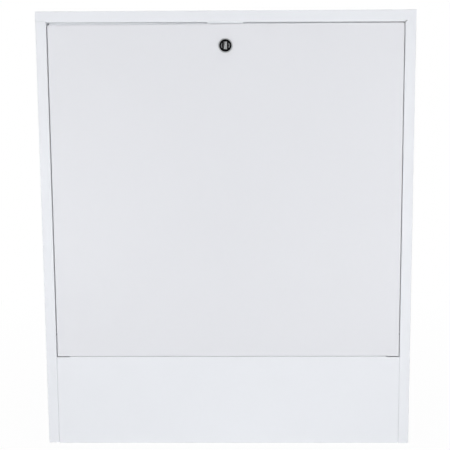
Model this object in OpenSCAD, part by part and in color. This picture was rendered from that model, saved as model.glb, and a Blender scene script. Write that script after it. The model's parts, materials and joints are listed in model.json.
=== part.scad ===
// Underfloor heating manifold in its surface-mounted cabinet.
// The cabinet stands on z = 0 with the wall behind it at +Y and its door towards -Y.

/* [Case] */
// Outer width of the case
case_w = 600; // [500:10:800]
// Outer height of the case
case_h = 705; // [640:5:900]
// Depth from the wall to the front frame
case_d = 150; // [145:1:200]
// Thickness of the painted steel sheet
sheet = 1; // [0.8:0.1:1.2]
// Width of the side strips of the front frame
strip_w = 17; // [14:1:24]
// Height of the top strip of the front frame
top_strip_h = 17; // [14:0.5:24]
// Height of the left strip's lower end over the floor
strip_lift = 1.2; // [0:0.1:3]
// Depth of the rebate that the door closes into
rebate_d = 16; // [15.5:0.5:20]
// Width of the lip that the door closes against
lip_w = 8; // [7:0.5:12]
// Width of the flanges that join the panels
flange_w = 14; // [12:1:20]
// Visible joint between the top strip and the side strips
seam = 0.3; // [0.2:0.1:0.6]
// Radius of a hole for a wall screw
wall_hole_r = 4.5; // [3:0.5:6]
// Distance of the wall holes from the sides of the case
wall_hole_in = 50; // [40:1:70]
// Distance of the wall holes from the top and from the floor
wall_hole_up = 60; // [40:1:80]
// Radius of a way for a pipe through a side panel
knockout_r = 24; // [18:1:28]
// Width of the slot cut round a way that is still closed
knockout_slot = 1.2; // [0.8:0.1:2]
// Radius of a rivet's shank
rivet_r = 1.6; // [1.2:0.1:2]

/* [Lower panel] */
// Height of the lower front panel
apron_h = 148; // [100:1:180]
// Joint between the lower panel and the left strip
apron_gap_left = 0.5; // [0.3:0.1:1]
// Joint between the lower panel and the right strip
apron_gap_right = 0.2; // [0.1:0.1:0.8]
// Depth of the lower panel's folded edges
apron_fold = 14; // [12:1:15]
// Length of the relief cut at each end of the folded top edge
relief_l = 22; // [10:1:40]
// Depth of the relief cut below the top edge
relief_h = 1; // [0.5:0.1:2]
// Radius of the screws that hold the lower panel
panel_screw_r = 2; // [1.5:0.5:2.5]

/* [Door] */
// Gap beside the door on the left
door_gap_left = 1.6; // [1:0.1:2.5]
// Gap beside the door on the right
door_gap_right = 1.2; // [1:0.1:2.5]
// Gap under the door
door_gap_bottom = 0.6; // [0.5:0.1:1.5]
// Gap over the door at its left corner
top_gap_left = 5.4; // [4:0.1:7]
// Gap over the door at its right corner
top_gap_right = 2.5; // [2:0.1:7]
// Depth of the door's folded edges
door_fold = 13; // [11:0.5:13.5]
// Height of the hinge pins over the door's bottom edge
pivot_up = 36; // [30:1:50]
// Depth of the hinge pins behind the door's face
pivot_in = 5; // [4.6:0.1:5.4]
// Radius of a hinge pin
pivot_r = 2; // [1.5:0.1:2.4]
// Radius of a rubber door buffer
buffer_r = 3; // [2:0.5:3.5]

/* [Lock] */
// Distance of the lock below the top strip
lock_drop = 37.3; // [32:0.1:42]
// Outer radius of the lock's rim
lock_r = 11.3; // [10.8:0.1:14]
// How far the lock's rim stands out of the door
lock_out = 2.5; // [2:0.1:4]
// Radius of the threaded lock body
lock_body_r = 9; // [8.8:0.1:9.4]
// Radius of the turning core
core_r = 7.3; // [6.5:0.1:7.5]
// Width of the finger bar on the core
finger_w = 4.8; // [3:0.1:5.5]
// Width of the recess on each side of the finger bar
recess_w = 2.3; // [1:0.1:2.4]
// Length of the cam from the core's axis
cam_l = 34; // [33:0.5:36]
// Width of the keeper that the cam turns behind
keeper_w = 57; // [40:1:90]

/* [Rails] */
// Length of a mounting rail
rail_l = 520; // [400:10:540]
// Depth of a mounting rail
rail_d = 15; // [13:0.5:18]
// Height of a mounting rail
rail_h = 30; // [28:1:36]
// Radius of the pipe guide
guide_r = 10; // [7:1:14]
// Height of the pipe guide over the floor
guide_z = 95; // [60:1:120]

/* [Manifold] */
// Height of the return bar over the floor
return_z = 270; // [260:5:290]
// Distance between the bars
bar_rise = 210; // [200:5:230]
// Distance of the supply bar from the wall
supply_off = 40; // [39:0.5:44]
// Distance of the return bar from the wall
return_off = 80; // [78:0.5:86]
// Outer radius of a bar
bar_r = 17.5; // [16.8:0.1:18]
// Wall of a bar
bar_wall = 2.5; // [1.5:0.1:3]
// Distance between the heating circuits
pitch = 50; // [50:1:60]
// Width of a bracket and its clamps
bracket_w = 14; // [12:1:14]
// Radius of a circuit connection, a G3/4 thread
outlet_r = 13.2; // [12.5:0.1:13.4]
// Length of a circuit connection
outlet_l = 14; // [10:1:18]
// Outer radius of a valve hand cap
cap_r = 17; // [16.5:0.1:17.5]
// Outer radius of a flow meter's setting ring
ring_r = 14; // [12:0.5:17]
// Length of a flow meter's sight glass
glass_l = 33; // [30:1:45]
// Radius of the female port of a ball valve, a G1 thread
port_r = 15.15; // [14:0.05:15.5]
// Depth of the female port of a ball valve
port_l = 16; // [12:1:18]
// Radius of the ball in a ball valve
ball_r = 17; // [16:0.1:17.5]
// Radius of the water way through a ball valve
way_r = 12.5; // [10:0.5:12.5]
// Half the span of a ball valve's wing handle
wing_l = 31; // [24:1:36]

/* [Hidden] */
$fn = 64;

// Clearances: of a turning fit, of a fixed fit, and the overshoot of a cutting tool
run = 0.05;
slip = 0.1;
cut = 1;

// Colours
white = "#e9ebee";
steel = "#b9bcc0";
chrome = "#c9cbce";
black = "#1c1c1e";
nickel = "#c4c2bb";
clear = "#dfe8ea";
red = "#c0261c";
blue = "#1f54a5";

// Planes of the case
back_y = (case_d + lock_out) / 2;
front_y = back_y - case_d;
half_w = case_w / 2;
open_half = half_w - strip_w;
strip_z = case_h - top_strip_h;
inner_back = back_y - sheet;
wall_in = half_w - sheet - slip;
rebate_y = front_y + rebate_d;
stop_y = rebate_y - sheet;
corner_relief = 2.2;
flange_gap = 2;

// Door outline and hinge
door_l = -open_half + door_gap_left;
door_r = open_half - door_gap_right;
door_bottom = apron_h + door_gap_bottom;
door_top_l = strip_z - top_gap_left;
door_top_r = strip_z - top_gap_right;
bottom_fold = 10;
corner_gap = 2;
pivot_y = front_y + pivot_in;
pivot_z = door_bottom + pivot_up;
pin_head_h = 1.5;
pin_reach = 3;
// The door's folded edges meet the ends of the lips when the door lies level
lip_z = pivot_z + door_fold - pivot_in + 0.3;
buffer_gap = 0.2;
buffer_in = 30;

// Rivets and panel screws
rivet_head_r = 2 * rivet_r;
rivet_head_h = 0.8;
rivet_tail_h = 1.2;
panel_screw_z = [0.2 * apron_h, 0.75 * apron_h];
panel_screw_y = front_y + 8.7;
panel_nut_h = 3;
panel_head_h = 2.4;

// Lock
lock_z = strip_z - lock_drop;
rim_t = 1.4;
rim_edge = 0.7;
rim_base = 0.5;
rotor_set = 0.7;
lock_l = rebate_d + 1;
tail_r = 5;
tail_l = 2;
lock_nut_h = 4;
lock_nut_af = 24;
recess_d = 2.6;
recess_h = 10.8;
finger_h = 11.6;
cam_t = 2;
cam_w = 16;
cam_gap = 0.3;
cam_square = 7;
cam_screw_r = 2.5;
cam_screw_l = 6;
keeper_in = 2.5;
keeper_edge = top_gap_right + 0.3;

// Axes of the bars
supply_z = return_z + bar_rise;
supply_y = back_y - supply_off;
return_y = back_y - return_off;
pipe_ways = [[supply_y, supply_z], [return_y, return_z]];

// Rails and pipe guide
rail_t = 1.5;
rail_slot = 12;
rail_front = inner_back - rail_d;
rail_below = 42;
rail_above = 44;
lower_rail_z = return_z - rail_below;
upper_rail_z = supply_z + rail_above;
stud_r = 3;
stud_x = rail_l / 2 - 20;
stud_l = 10;
stud_nut_h = 5;
guide_y = rebate_y + 8 + guide_r;
guide_wall = 1.5;
guide_tab = 10;

// Brackets and clamps
bracket_t = 3;
plate_y = rail_front - slip;
plate_end = 13;
arm_t = 3;
supply_arm_z = 9;
return_arm_z = 11;
bolt_r = 4;
bolt_head_h = 5.3;
slide_nut_h = 5;
slide_nut_w = 20;
liner_t = 3;
clamp_t = 3;
clamp_split = 0.5;
liner_r = bar_r + liner_t;
clamp_r = liner_r + slip + clamp_t;
ear_h = 11;
clamp_screw_z = clamp_r + ear_h / 2 - 0.5;
clamp_screw_r = 2.4;
clamp_nut_h = 4;
clamp_head_h = 3;

// Bars
circuits = 4;
bar_end = 32;
half_bar = (circuits - 1) * pitch / 2 + bar_end;
union_l = 36;
valve_l = 38;
end_l = 46;
bar_mid = (union_l + valve_l - end_l) / 2;
bar_left = bar_mid - half_bar;
bar_right = bar_mid + half_bar;
circuit_x = [for (i = [0 : circuits - 1]) bar_mid + (i - (circuits - 1) / 2) * pitch];
bracket_x = [bar_mid - pitch, bar_mid + pitch];
boss_r = 13;
boss_h = bar_r + 3.5;
boss_bore = 8;
thread_r = bar_r - 0.9;
thread_l = 12;
bar_bore = bar_r - bar_wall;
plug_end = bar_bore + 0.5;
gasket_t = 2;
nut_af = 41;
collar_t = 4;

// Fittings on the bars
outlet_hex = 6;
outlet_af = 26;
outlet_bore = 6;
cone_r = 9;
cone_l = 8;
seat_hex = 6;
ring_gap = 0.5;
ring_z = boss_h + seat_hex + ring_gap;
ring_h = 12;
neck_r = 9;
neck_top = ring_z + ring_h + ring_gap;
glass_r = 7.5;
glass_bore = 6;
glass_top = neck_top + glass_l;
glass_end_t = 2.5;
glass_foot_t = 2;
disc_h = 3;
float_stem_r = 1.2;
insert_hex = 5;
insert_af = 24;
collar_r = 15;
collar_h = 8;
neck_h = 4;
spindle_r = 1.6;
cap_z = boss_h + insert_hex + 1;
cap_h = 24;
cap_wall = 3.5;
cap_bore = 11;

// Ball valves, from the ball's centre
valve_x = bar_left - union_l;
ball_gap = 0.15;
belly_t = 4;
belly_half = 13;
waist_t = 1;
waist_half = 20;
port_hex_l = 14;
port_hex_af = 38;
tail_start = 10;
tail_end = union_l - gasket_t;
tail_thread_r = thread_r - 2.4;
stem_r = 5;
bonnet_r = 9;
bonnet_l = 12;
bonnet_end = -ball_r - bonnet_l;
hub_r = 9.5;
hub_l = 16;
hub_front = bonnet_end - 1 - hub_l;
wing_t = 9;
wing_w = 10;
wing_tip_r = 6.5;
tang_w = 3;
tang_d = 3.7;
handle_screw_r = 2;
handle_screw_l = 11;
screw_head_r = 4.4;

// End pieces, from the bar's end
vent_x = 18;
vent_r = 7.5;
vent_top = 27;
vent_bore = 3.5;
vent_screw_h = 8.7;
drain_x = 28;
drain_r = 9.5;
drain_bore = 6;
drain_front = -36;
drain_hex_end = -21;
drain_cap_wall = 3;

// ---------- basic shapes ----------

module slab(x, y, z) {
    translate([x[0], y[0], z[0]]) cube([x[1] - x[0], y[1] - y[0], z[1] - z[0]]);
}

module rod_x(r, x) {
    translate([x[0], 0, 0]) rotate([0, 90, 0]) cylinder(r = r, h = x[1] - x[0]);
}

module rod_y(r, y) {
    translate([0, y[0], 0]) rotate([-90, 0, 0]) cylinder(r = r, h = y[1] - y[0]);
}

module rod_z(r, z) {
    translate([0, 0, z[0]]) cylinder(r = r, h = z[1] - z[0]);
}

module hex_x(af, x) {
    rod_x(af / sqrt(3), x, $fn = 6);
}

module hex_y(af, y) {
    rod_y(af / sqrt(3), y, $fn = 6);
}

module hex_z(af, z) {
    rod_z(af / sqrt(3), z, $fn = 6);
}

// Ball whose poles lie on X, where its bore takes them away
module ball(r) {
    rotate([0, 90, 0]) sphere(r = r);
}

// A flat outline in X and Z, given a thickness along Y
module face_prism(points, y) {
    translate([0, y[1], 0]) rotate([90, 0, 0]) linear_extrude(y[1] - y[0]) polygon(points);
}

module both_sides() {
    children();
    mirror([1, 0, 0]) children();
}

// Grip flutes round a knob that stands along Z
module flutes(r, z, count, flute_r) {
    for (i = [0 : count - 1])
        rotate([0, 0, i * 360 / count]) translate([r + flute_r * 0.4, 0, 0]) rod_z(flute_r, z);
}

// ---------- case ----------

// Y and Z of the rivets that join the left side to the back, to the top and to the pipe guide
rivet_spots = [
    for (z = [0.08, 0.5, 0.9]) [back_y - flange_w / 2, z * case_h],
    for (y = [0.3, 0.75]) [front_y + y * case_d, case_h - sheet - flange_w / 2],
    for (side = [-1, 1]) [guide_y + side * (guide_r + guide_tab / 2), guide_z]
];

module rivet_holes() {
    for (p = rivet_spots)
        translate([0, p[0], p[1]]) rod_x(rivet_r + slip, [-half_w - cut, -half_w + 3 * sheet + cut]);
}

module corner_notch(size, z) {
    translate([-open_half, front_y, z]) rotate([0, 45, 0]) cube([size, 3 * sheet, size], center = true);
}

module knockout_ring() {
    tab = 6;
    rotate([0, 90, 0]) linear_extrude(3 * sheet, center = true) difference() {
        circle(r = knockout_r + knockout_slot);
        circle(r = knockout_r);
        for (a = [0, 120, 240]) rotate(a) translate([0, -tab / 2]) square([2 * knockout_r, tab]);
    }
}

// Its children cut each way for a pipe, drawn from the panel's outer face on a bar's axis
module side_panel(lift) {
    top_z = strip_z - seam;
    return_x = [-open_half - sheet, -open_half];
    difference() {
        union() {
            slab([-half_w, -half_w + sheet], [front_y, back_y], [lift, top_z]);
            slab([-half_w, -half_w + sheet], [front_y + sheet + seam, back_y],
                 [0, case_h - sheet - slip]);
            slab([-half_w, -open_half], [front_y, front_y + sheet], [lift, top_z]);
            slab(return_x, [front_y, rebate_y], [lift, top_z]);
            slab([-open_half - sheet, -open_half + lip_w], [stop_y, rebate_y], [lip_z, top_z]);
            slab([-half_w, -half_w + flange_w], [rebate_y + flange_gap, back_y - flange_w - flange_gap],
                 [0, sheet]);
        }
        for (p = pipe_ways) translate([-half_w, p[0], p[1]]) children();
        rivet_holes();
        apron_screw_places() rod_x(panel_screw_r + slip, [-open_half - sheet - cut, -open_half + cut]);
        translate([0, pivot_y, pivot_z])
            rod_x(pivot_r + run, [-open_half - sheet - cut, -open_half + cut]);
        corner_notch(corner_relief, top_z);
    }
}

// The boiler's pipes come in on the left, so its knock-outs are out
module left_side() color(white) side_panel(strip_lift) rod_x(knockout_r, [-cut, sheet + cut]);

module right_side() color(white) mirror([1, 0, 0]) side_panel(0) knockout_ring();

module top_panel() color(white) {
    lip_half = open_half - lip_w - seam;
    difference() {
        union() {
            slab([-half_w, half_w], [front_y, back_y], [case_h - sheet, case_h]);
            slab([-half_w, half_w], [front_y, front_y + sheet], [strip_z, case_h]);
            slab([-wall_in, wall_in], [front_y, rebate_y], [strip_z, strip_z + sheet]);
            slab([-lip_half, lip_half], [stop_y, rebate_y], [strip_z - lip_w, strip_z + sheet]);
            both_sides()
                slab([-wall_in, -wall_in + sheet],
                     [rebate_y + flange_gap, back_y - flange_w - flange_gap],
                     [case_h - sheet - flange_w, case_h - sheet]);
        }
        both_sides() rivet_holes();
        both_sides() corner_notch(corner_relief * 0.7, strip_z);
    }
}

module back_panel() color(white) {
    top_z = case_h - sheet - slip;
    difference() {
        union() {
            slab([-wall_in, wall_in], [inner_back, back_y], [0, top_z]);
            both_sides() slab([-wall_in, -wall_in + sheet], [back_y - flange_w, back_y], [0, top_z]);
            slab([-wall_in, wall_in], [back_y - flange_w, back_y], [top_z - sheet, top_z]);
        }
        for (x = [-1, 1], z = [wall_hole_up, case_h - wall_hole_up])
            translate([x * (half_w - wall_hole_in), 0, z])
                rod_y(wall_hole_r, [inner_back - cut, back_y + cut]);
        both_sides() rivet_holes();
    }
}

module case_rivets() color(white)
    both_sides() for (p = rivet_spots) translate([0, p[0], p[1]]) {
        tail = -half_w + 2 * sheet + slip;
        rod_x(rivet_head_r, [-half_w - rivet_head_h, -half_w]);
        rod_x(rivet_r, [-half_w - rivet_head_h, tail + rivet_tail_h]);
        rod_x(rivet_r * 1.5, [tail, tail + rivet_tail_h]);
    }

module apron_screw_places() {
    for (z = panel_screw_z) translate([0, panel_screw_y, z]) children();
}

module apron_panel() color(white) {
    left = -open_half + apron_gap_left;
    right = open_half - apron_gap_right;
    fold_end = front_y + apron_fold;
    relief_x = open_half - relief_l;
    low = apron_h - relief_h;
    face = [
        [left, 0], [right, 0], [right, low], [relief_x, low], [relief_x, apron_h],
        [-relief_x, apron_h], [-relief_x, low], [left, low]
    ];
    side_z = [3 * sheet, apron_h - 8 * sheet];
    difference() {
        union() {
            face_prism(face, [front_y, front_y + sheet]);
            slab([-relief_x, relief_x], [front_y, fold_end], [apron_h - sheet, apron_h]);
            slab([left + 2 * sheet, right - 2 * sheet], [front_y, fold_end], [0, sheet]);
            slab([left, left + sheet], [front_y, fold_end], side_z);
            slab([right - sheet, right], [front_y, fold_end], side_z);
        }
        both_sides() apron_screw_places()
            rod_x(panel_screw_r + slip, [-open_half - cut, -open_half + 2 * sheet + cut]);
    }
}

module apron_screw(gap) {
    head = -open_half + gap + sheet;
    nut = [-open_half - sheet - panel_nut_h, -open_half - sheet];
    slot_w = 0.8;
    apron_screw_places() {
        difference() {
            union() {
                rod_x(panel_screw_r * 1.8, [head, head + panel_head_h]);
                rod_x(panel_screw_r, [nut[0] - 1, head + 1]);
            }
            slab([head + panel_head_h - 1, head + panel_head_h + cut], [-slot_w / 2, slot_w / 2],
                 [-panel_screw_r, panel_screw_r]);
        }
        difference() {
            hex_x(panel_screw_r * 3.5, nut);
            rod_x(panel_screw_r + run, [nut[0] - cut, nut[1] + cut]);
        }
    }
}

module apron_screws() color(steel) {
    apron_screw(apron_gap_left);
    mirror([1, 0, 0]) apron_screw(apron_gap_right);
}

// Striker folded round the top lip, with its front edge just behind the gap over the door
module lock_keeper() color(white) {
    x = [-keeper_w / 2, keeper_w / 2];
    front = front_y + keeper_in;
    slab(x, [front, stop_y], [strip_z - sheet, strip_z]);
    slab(x, [front, front + sheet], [strip_z - keeper_edge, strip_z]);
    slab(x, [stop_y - sheet, stop_y], [strip_z - lip_w, strip_z]);
}

module hinge_pin(gap) {
    back = -open_half - sheet;
    translate([0, pivot_y, pivot_z]) {
        rod_x(pivot_r + 1.5, [back - pin_head_h, back]);
        rod_x(pivot_r, [back - pin_head_h, -open_half + gap + sheet + pin_reach]);
    }
}

module hinge_pins() color(steel) {
    hinge_pin(door_gap_left);
    mirror([1, 0, 0]) hinge_pin(door_gap_right);
}

module door_buffers() color(black)
    both_sides() for (z = [lip_z + buffer_in, strip_z - buffer_in])
        translate([-open_half + lip_w / 2, 0, z])
            rod_y(buffer_r, [front_y + door_fold + buffer_gap, stop_y]);

// C-shaped rail, open to the front
module rail(z) {
    x = [-rail_l / 2, rail_l / 2];
    h = rail_h / 2;
    translate([0, 0, z]) difference() {
        union() {
            slab(x, [inner_back - rail_t, inner_back], [-h, h]);
            for (edge = [[h - rail_t, h], [-h, -h + rail_t]]) slab(x, [rail_front, inner_back], edge);
            for (edge = [[rail_slot / 2, h], [-h, -rail_slot / 2]])
                slab(x, [rail_front, rail_front + rail_t], edge);
        }
        for (s = [-1, 1]) translate([s * stud_x, 0, 0]) rod_y(stud_r + slip, [rail_front, back_y]);
    }
}

module upper_rail() color(steel) rail(upper_rail_z);

module lower_rail() color(steel) rail(lower_rail_z);

// Studs welded to the back panel, each with its nut
module rail_studs() color(steel)
    for (s = [-1, 1], z = [lower_rail_z, upper_rail_z]) translate([s * stud_x, 0, z]) {
        nut = [inner_back - rail_t - stud_nut_h, inner_back - rail_t];
        rod_y(stud_r, [inner_back - stud_l, inner_back]);
        difference() {
            hex_y(stud_r * 3.3, nut);
            rod_y(stud_r + run, [nut[0] - cut, nut[1] + cut]);
        }
    }

// Round tube that the floor pipes bend over, with a tab at each end
module pipe_guide() color(steel) {
    tab_half = guide_r + guide_tab;
    difference() {
        union() {
            translate([0, guide_y, guide_z]) rod_x(guide_r, [-wall_in, wall_in]);
            both_sides() slab([-wall_in, -wall_in + sheet], [guide_y - tab_half, guide_y + tab_half],
                              [guide_z - guide_r - 2, guide_z + guide_r + 2]);
        }
        translate([0, guide_y, guide_z]) rod_x(guide_r - guide_wall, [-half_w, half_w]);
        both_sides() rivet_holes();
    }
}

// ---------- door and lock ----------

module door_panel() color(white) {
    y = [front_y, front_y + door_fold];
    left = door_l + corner_gap;
    right = door_r - corner_gap;
    fall = (door_top_r - door_top_l) * corner_gap / (door_r - door_l);
    relief_x = open_half - relief_l;
    difference() {
        union() {
            face_prism([[door_l, door_bottom], [door_r, door_bottom], [door_r, door_top_r],
                        [door_l, door_top_l]], [front_y, front_y + sheet]);
            face_prism([[left, door_top_l + fall - sheet], [right, door_top_r - fall - sheet],
                        [right, door_top_r - fall], [left, door_top_l + fall]], y);
            slab([door_l, door_l + sheet], y, [door_bottom + corner_gap, door_top_l - corner_gap]);
            slab([door_r - sheet, door_r], y, [door_bottom + corner_gap, door_top_r - corner_gap]);
            slab([-relief_x, relief_x], [front_y, front_y + bottom_fold],
                 [door_bottom, door_bottom + sheet]);
        }
        translate([0, 0, lock_z]) rod_y(lock_body_r + slip, [front_y - cut, front_y + sheet + cut]);
        translate([0, pivot_y, pivot_z]) rod_x(pivot_r + run, [-half_w, half_w]);
    }
}

// Every lock part is drawn from the door's face at the lock's axis
module lock_place() {
    translate([0, front_y, lock_z]) children();
}

module lock_bezel() color(chrome) lock_place() difference() {
    union() {
        rod_y(lock_r - rim_edge, [-lock_out, 0]);
        rod_y(lock_r, [-lock_out + rim_edge, 0]);
        rod_y(lock_body_r, [-rim_base, lock_l]);
    }
    rod_y(lock_r - rim_t, [-lock_out - cut, -rim_base]);
    rod_y(core_r + run, [-rim_base - cut, lock_l - tail_l]);
    rod_y(tail_r + run, [0, lock_l + cut]);
}

// Black bush round the core, set back inside the rim
module lock_sleeve() color(black) lock_place() difference() {
    rod_y(lock_r - rim_t - run, [-lock_out + 1, -rim_base]);
    rod_y(core_r + run, [-lock_out, 0]);
}

module lock_nut() color(steel) lock_place() difference() {
    hex_y(lock_nut_af, [sheet, sheet + lock_nut_h]);
    rod_y(lock_body_r + run, [0, sheet + lock_nut_h + cut]);
}

// Core with a ridged finger bar between two recesses, and a square tail for the cam
module lock_rotor() color(chrome) lock_place() {
    face = -lock_out + rotor_set;
    bar = finger_w / 2;
    difference() {
        union() {
            rod_y(core_r, [face, lock_l - tail_l - 2 * slip]);
            rod_y(tail_r, [0, lock_l + 2 * slip]);
            slab([-cam_square / 2, cam_square / 2], [lock_l, lock_l + cam_gap + cam_t - slip],
                 [-cam_square / 2, cam_square / 2]);
            translate([0, 0, -finger_h / 2]) linear_extrude(finger_h)
                polygon([[-bar, face + 0.5], [bar, face + 0.5], [bar * 0.6, face - 0.6],
                         [0, face - rotor_set], [-bar * 0.6, face - 0.6]]);
        }
        for (x = [[-bar - recess_w, -bar], [bar, bar + recess_w]])
            slab(x, [face - cut, face + recess_d], [-recess_h / 2, recess_h / 2]);
        rod_y(cam_screw_r, [lock_l - cam_screw_l - cut, lock_l + cam_t + cut]);
    }
}

// Cam, turned clear of the keeper in the rest position
module lock_cam() color(steel) lock_place() {
    y = [lock_l + cam_gap, lock_l + cam_gap + cam_t];
    square_half = cam_square / 2 + slip;
    difference() {
        union() {
            rod_y(cam_w / 2, y);
            slab([0, cam_l], y, [-cam_w / 2, cam_w / 2]);
        }
        slab([-square_half, square_half], [y[0] - cut, y[1] + cut], [-square_half, square_half]);
    }
}

module lock_screw() color(steel) lock_place() difference() {
    base = lock_l + cam_gap + cam_t + slip;
    washer_t = 1;
    head_h = 3;
    union() {
        rod_y(6, [base, base + washer_t]);
        hex_y(8, [base + washer_t, base + washer_t + head_h]);
        rod_y(cam_screw_r - run, [base - cam_screw_l, base + washer_t]);
    }
    rod_y(1.2, [base + head_h, base + washer_t + head_h + cut]);
}

// ---------- manifold: supports ----------

module supply_place() {
    translate([0, supply_y, supply_z]) children();
}

module return_place() {
    translate([0, return_y, return_z]) children();
}

module clamp_screw_places() {
    for (s = [-1, 1]) translate([0, 0, s * clamp_screw_z]) children();
}

// Half of a clamp round a bar along X; side is 1 for the wall side and -1 for the room side
module clamp_half(side) {
    x = [-bracket_w / 2, bracket_w / 2];
    far = clamp_r + ear_h;
    ear = side > 0 ? [clamp_split, clamp_split + clamp_t] : [-clamp_split - clamp_t, -clamp_split];
    away = side > 0 ? [-far, clamp_split] : [-clamp_split, far];
    difference() {
        union() {
            rod_x(clamp_r, x);
            slab(x, ear, [-far, far]);
        }
        rod_x(liner_r + slip, [x[0] - cut, x[1] + cut]);
        slab([x[0] - cut, x[1] + cut], away, [-far - cut, far + cut]);
        clamp_screw_places() rod_y(clamp_screw_r + slip, [-clamp_r, clamp_r]);
    }
}

module bracket(x) {
    wide = [-bracket_w / 2, bracket_w / 2];
    arms = [[supply_y, supply_z, supply_arm_z], [return_y, return_z, return_arm_z]];
    translate([x, 0, 0]) difference() {
        union() {
            slab(wide, [plate_y - bracket_t, plate_y], [lower_rail_z - plate_end, upper_rail_z + plate_end]);
            supply_place() clamp_half(1);
            return_place() clamp_half(1);
            for (a = arms, s = [-1, 1])
                slab(wide, [a[0] + clamp_r - 8, plate_y - bracket_t / 2],
                     [a[1] + s * a[2] - arm_t / 2, a[1] + s * a[2] + arm_t / 2]);
        }
        supply_place() rod_x(liner_r + slip, [-bracket_w, bracket_w]);
        return_place() rod_x(liner_r + slip, [-bracket_w, bracket_w]);
        for (z = [lower_rail_z, upper_rail_z])
            translate([0, 0, z]) rod_y(bolt_r + slip, [plate_y - bracket_t - cut, plate_y + cut]);
    }
}

module manifold_brackets() color(steel) for (x = bracket_x) bracket(x);

// Bolts with the sliding nuts that grip the rails
module bracket_bolts() color(steel)
    for (x = bracket_x, z = [lower_rail_z, upper_rail_z]) translate([x, 0, z]) {
        head = plate_y - bracket_t;
        nut = [rail_front + rail_t + slip, rail_front + rail_t + slip + slide_nut_h];
        nut_half = rail_h / 2 - rail_t - 1;
        hex_y(bolt_r * 3.25, [head - bolt_head_h, head]);
        rod_y(bolt_r, [head - 1, nut[1] + 1]);
        difference() {
            slab([-slide_nut_w / 2, slide_nut_w / 2], nut, [-nut_half, nut_half]);
            rod_y(bolt_r + run, [nut[0] - cut, nut[1] + cut]);
        }
    }

module at_clamps() {
    for (x = bracket_x) translate([x, 0, 0]) {
        supply_place() children();
        return_place() children();
    }
}

module clamp_caps() color(steel) at_clamps() clamp_half(-1);

module clamp_liners() color(black) at_clamps() difference() {
    half = bracket_w / 2 + 1;
    rod_x(liner_r, [-half, half]);
    rod_x(bar_r + run, [-half - cut, half + cut]);
}

module clamp_screws() color(steel) at_clamps() clamp_screw_places() {
    ear = clamp_split + clamp_t;
    difference() {
        rod_y(clamp_screw_r * 1.75, [-ear - clamp_head_h, -ear]);
        hex_y(clamp_screw_r * 1.6, [-ear - clamp_head_h - cut, -ear - 1.2]);
    }
    rod_y(clamp_screw_r, [-ear - 0.5, ear + clamp_nut_h + 1]);
    difference() {
        hex_y(clamp_screw_r * 3.3, [ear, ear + clamp_nut_h]);
        rod_y(clamp_screw_r + run, [ear - cut, ear + clamp_nut_h + cut]);
    }
}

// ---------- manifold: bars and their fittings ----------

module bar() {
    difference() {
        union() {
            rod_x(bar_r, [bar_left + thread_l, bar_right - thread_l]);
            rod_x(thread_r, [bar_left, bar_right]);
            at_circuits() rod_z(boss_r, [-boss_h, boss_h]);
        }
        rod_x(bar_bore, [bar_left - cut, bar_right + cut]);
        at_circuits() rod_z(boss_bore, [-boss_h - cut, boss_h + cut]);
    }
}

module supply_bar() color(nickel) supply_place() bar();

module return_bar() color(nickel) return_place() bar();

module at_circuits() {
    for (x = circuit_x) translate([x, 0, 0]) children();
}

// Circuit connection: plug in the bar, hexagon, thread, and the cone that seals the floor pipe
module outlet_nipple() {
    hex_end = -boss_h - outlet_hex;
    tip = hex_end - outlet_l;
    cone_fall = cone_r - outlet_bore;
    difference() {
        union() {
            rod_z(boss_bore - slip, [-boss_h, -plug_end]);
            hex_z(outlet_af, [hex_end, -boss_h]);
            rod_z(outlet_r, [tip, hex_end]);
        }
        rod_z(outlet_bore, [tip - cut, 0]);
        translate([0, 0, tip]) cylinder(r1 = cone_r, r2 = cone_r - cone_fall, h = cone_l);
    }
}

module outlet_nipples() color(nickel) {
    supply_place() at_circuits() outlet_nipple();
    return_place() at_circuits() outlet_nipple();
}

module flow_meter_seats() color(nickel) supply_place() at_circuits() difference() {
    union() {
        rod_z(boss_bore - slip, [plug_end, boss_h]);
        hex_z(outlet_af, [boss_h, boss_h + seat_hex]);
        rod_z(neck_r, [boss_h, neck_top]);
    }
    rod_z(glass_bore, [0, neck_top + cut]);
}

module flow_glasses() color(clear, 0.4) supply_place() at_circuits() difference() {
    union() {
        rod_z(neck_r - 0.2, [neck_top, neck_top + glass_foot_t]);
        rod_z(glass_r, [neck_top, glass_top - 2]);
        rod_z(glass_r - 1.2, [glass_top - 3, glass_top]);
    }
    rod_z(glass_bore, [neck_top - cut, glass_top - glass_end_t]);
}

// Each circuit's moving pieces are drawn from its bar's axis
module supply_circuit(i) {
    supply_place() translate([circuit_x[i - 1], 0, 0]) children();
}

module return_circuit(i) {
    return_place() translate([circuit_x[i - 1], 0, 0]) children();
}

module flow_ring(i) color(black) supply_circuit(i) difference() {
    union() {
        rod_z(ring_r, [ring_z, ring_z + ring_h - 2]);
        rod_z(ring_r - 2, [ring_z, ring_z + ring_h]);
    }
    rod_z(neck_r + run, [ring_z - cut, ring_z + ring_h + cut]);
    flutes(ring_r, [ring_z + 2, ring_z + ring_h], 16, 1);
}

// Red disc on its stem; it sinks in the glass as the flow rises
module flow_float(i) color(red) supply_circuit(i) {
    top = glass_top - glass_end_t - 1;
    rod_z(glass_bore - 0.5, [top - disc_h, top]);
    rod_z(float_stem_r, [neck_top - disc_h * 2, top - 1]);
}

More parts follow.
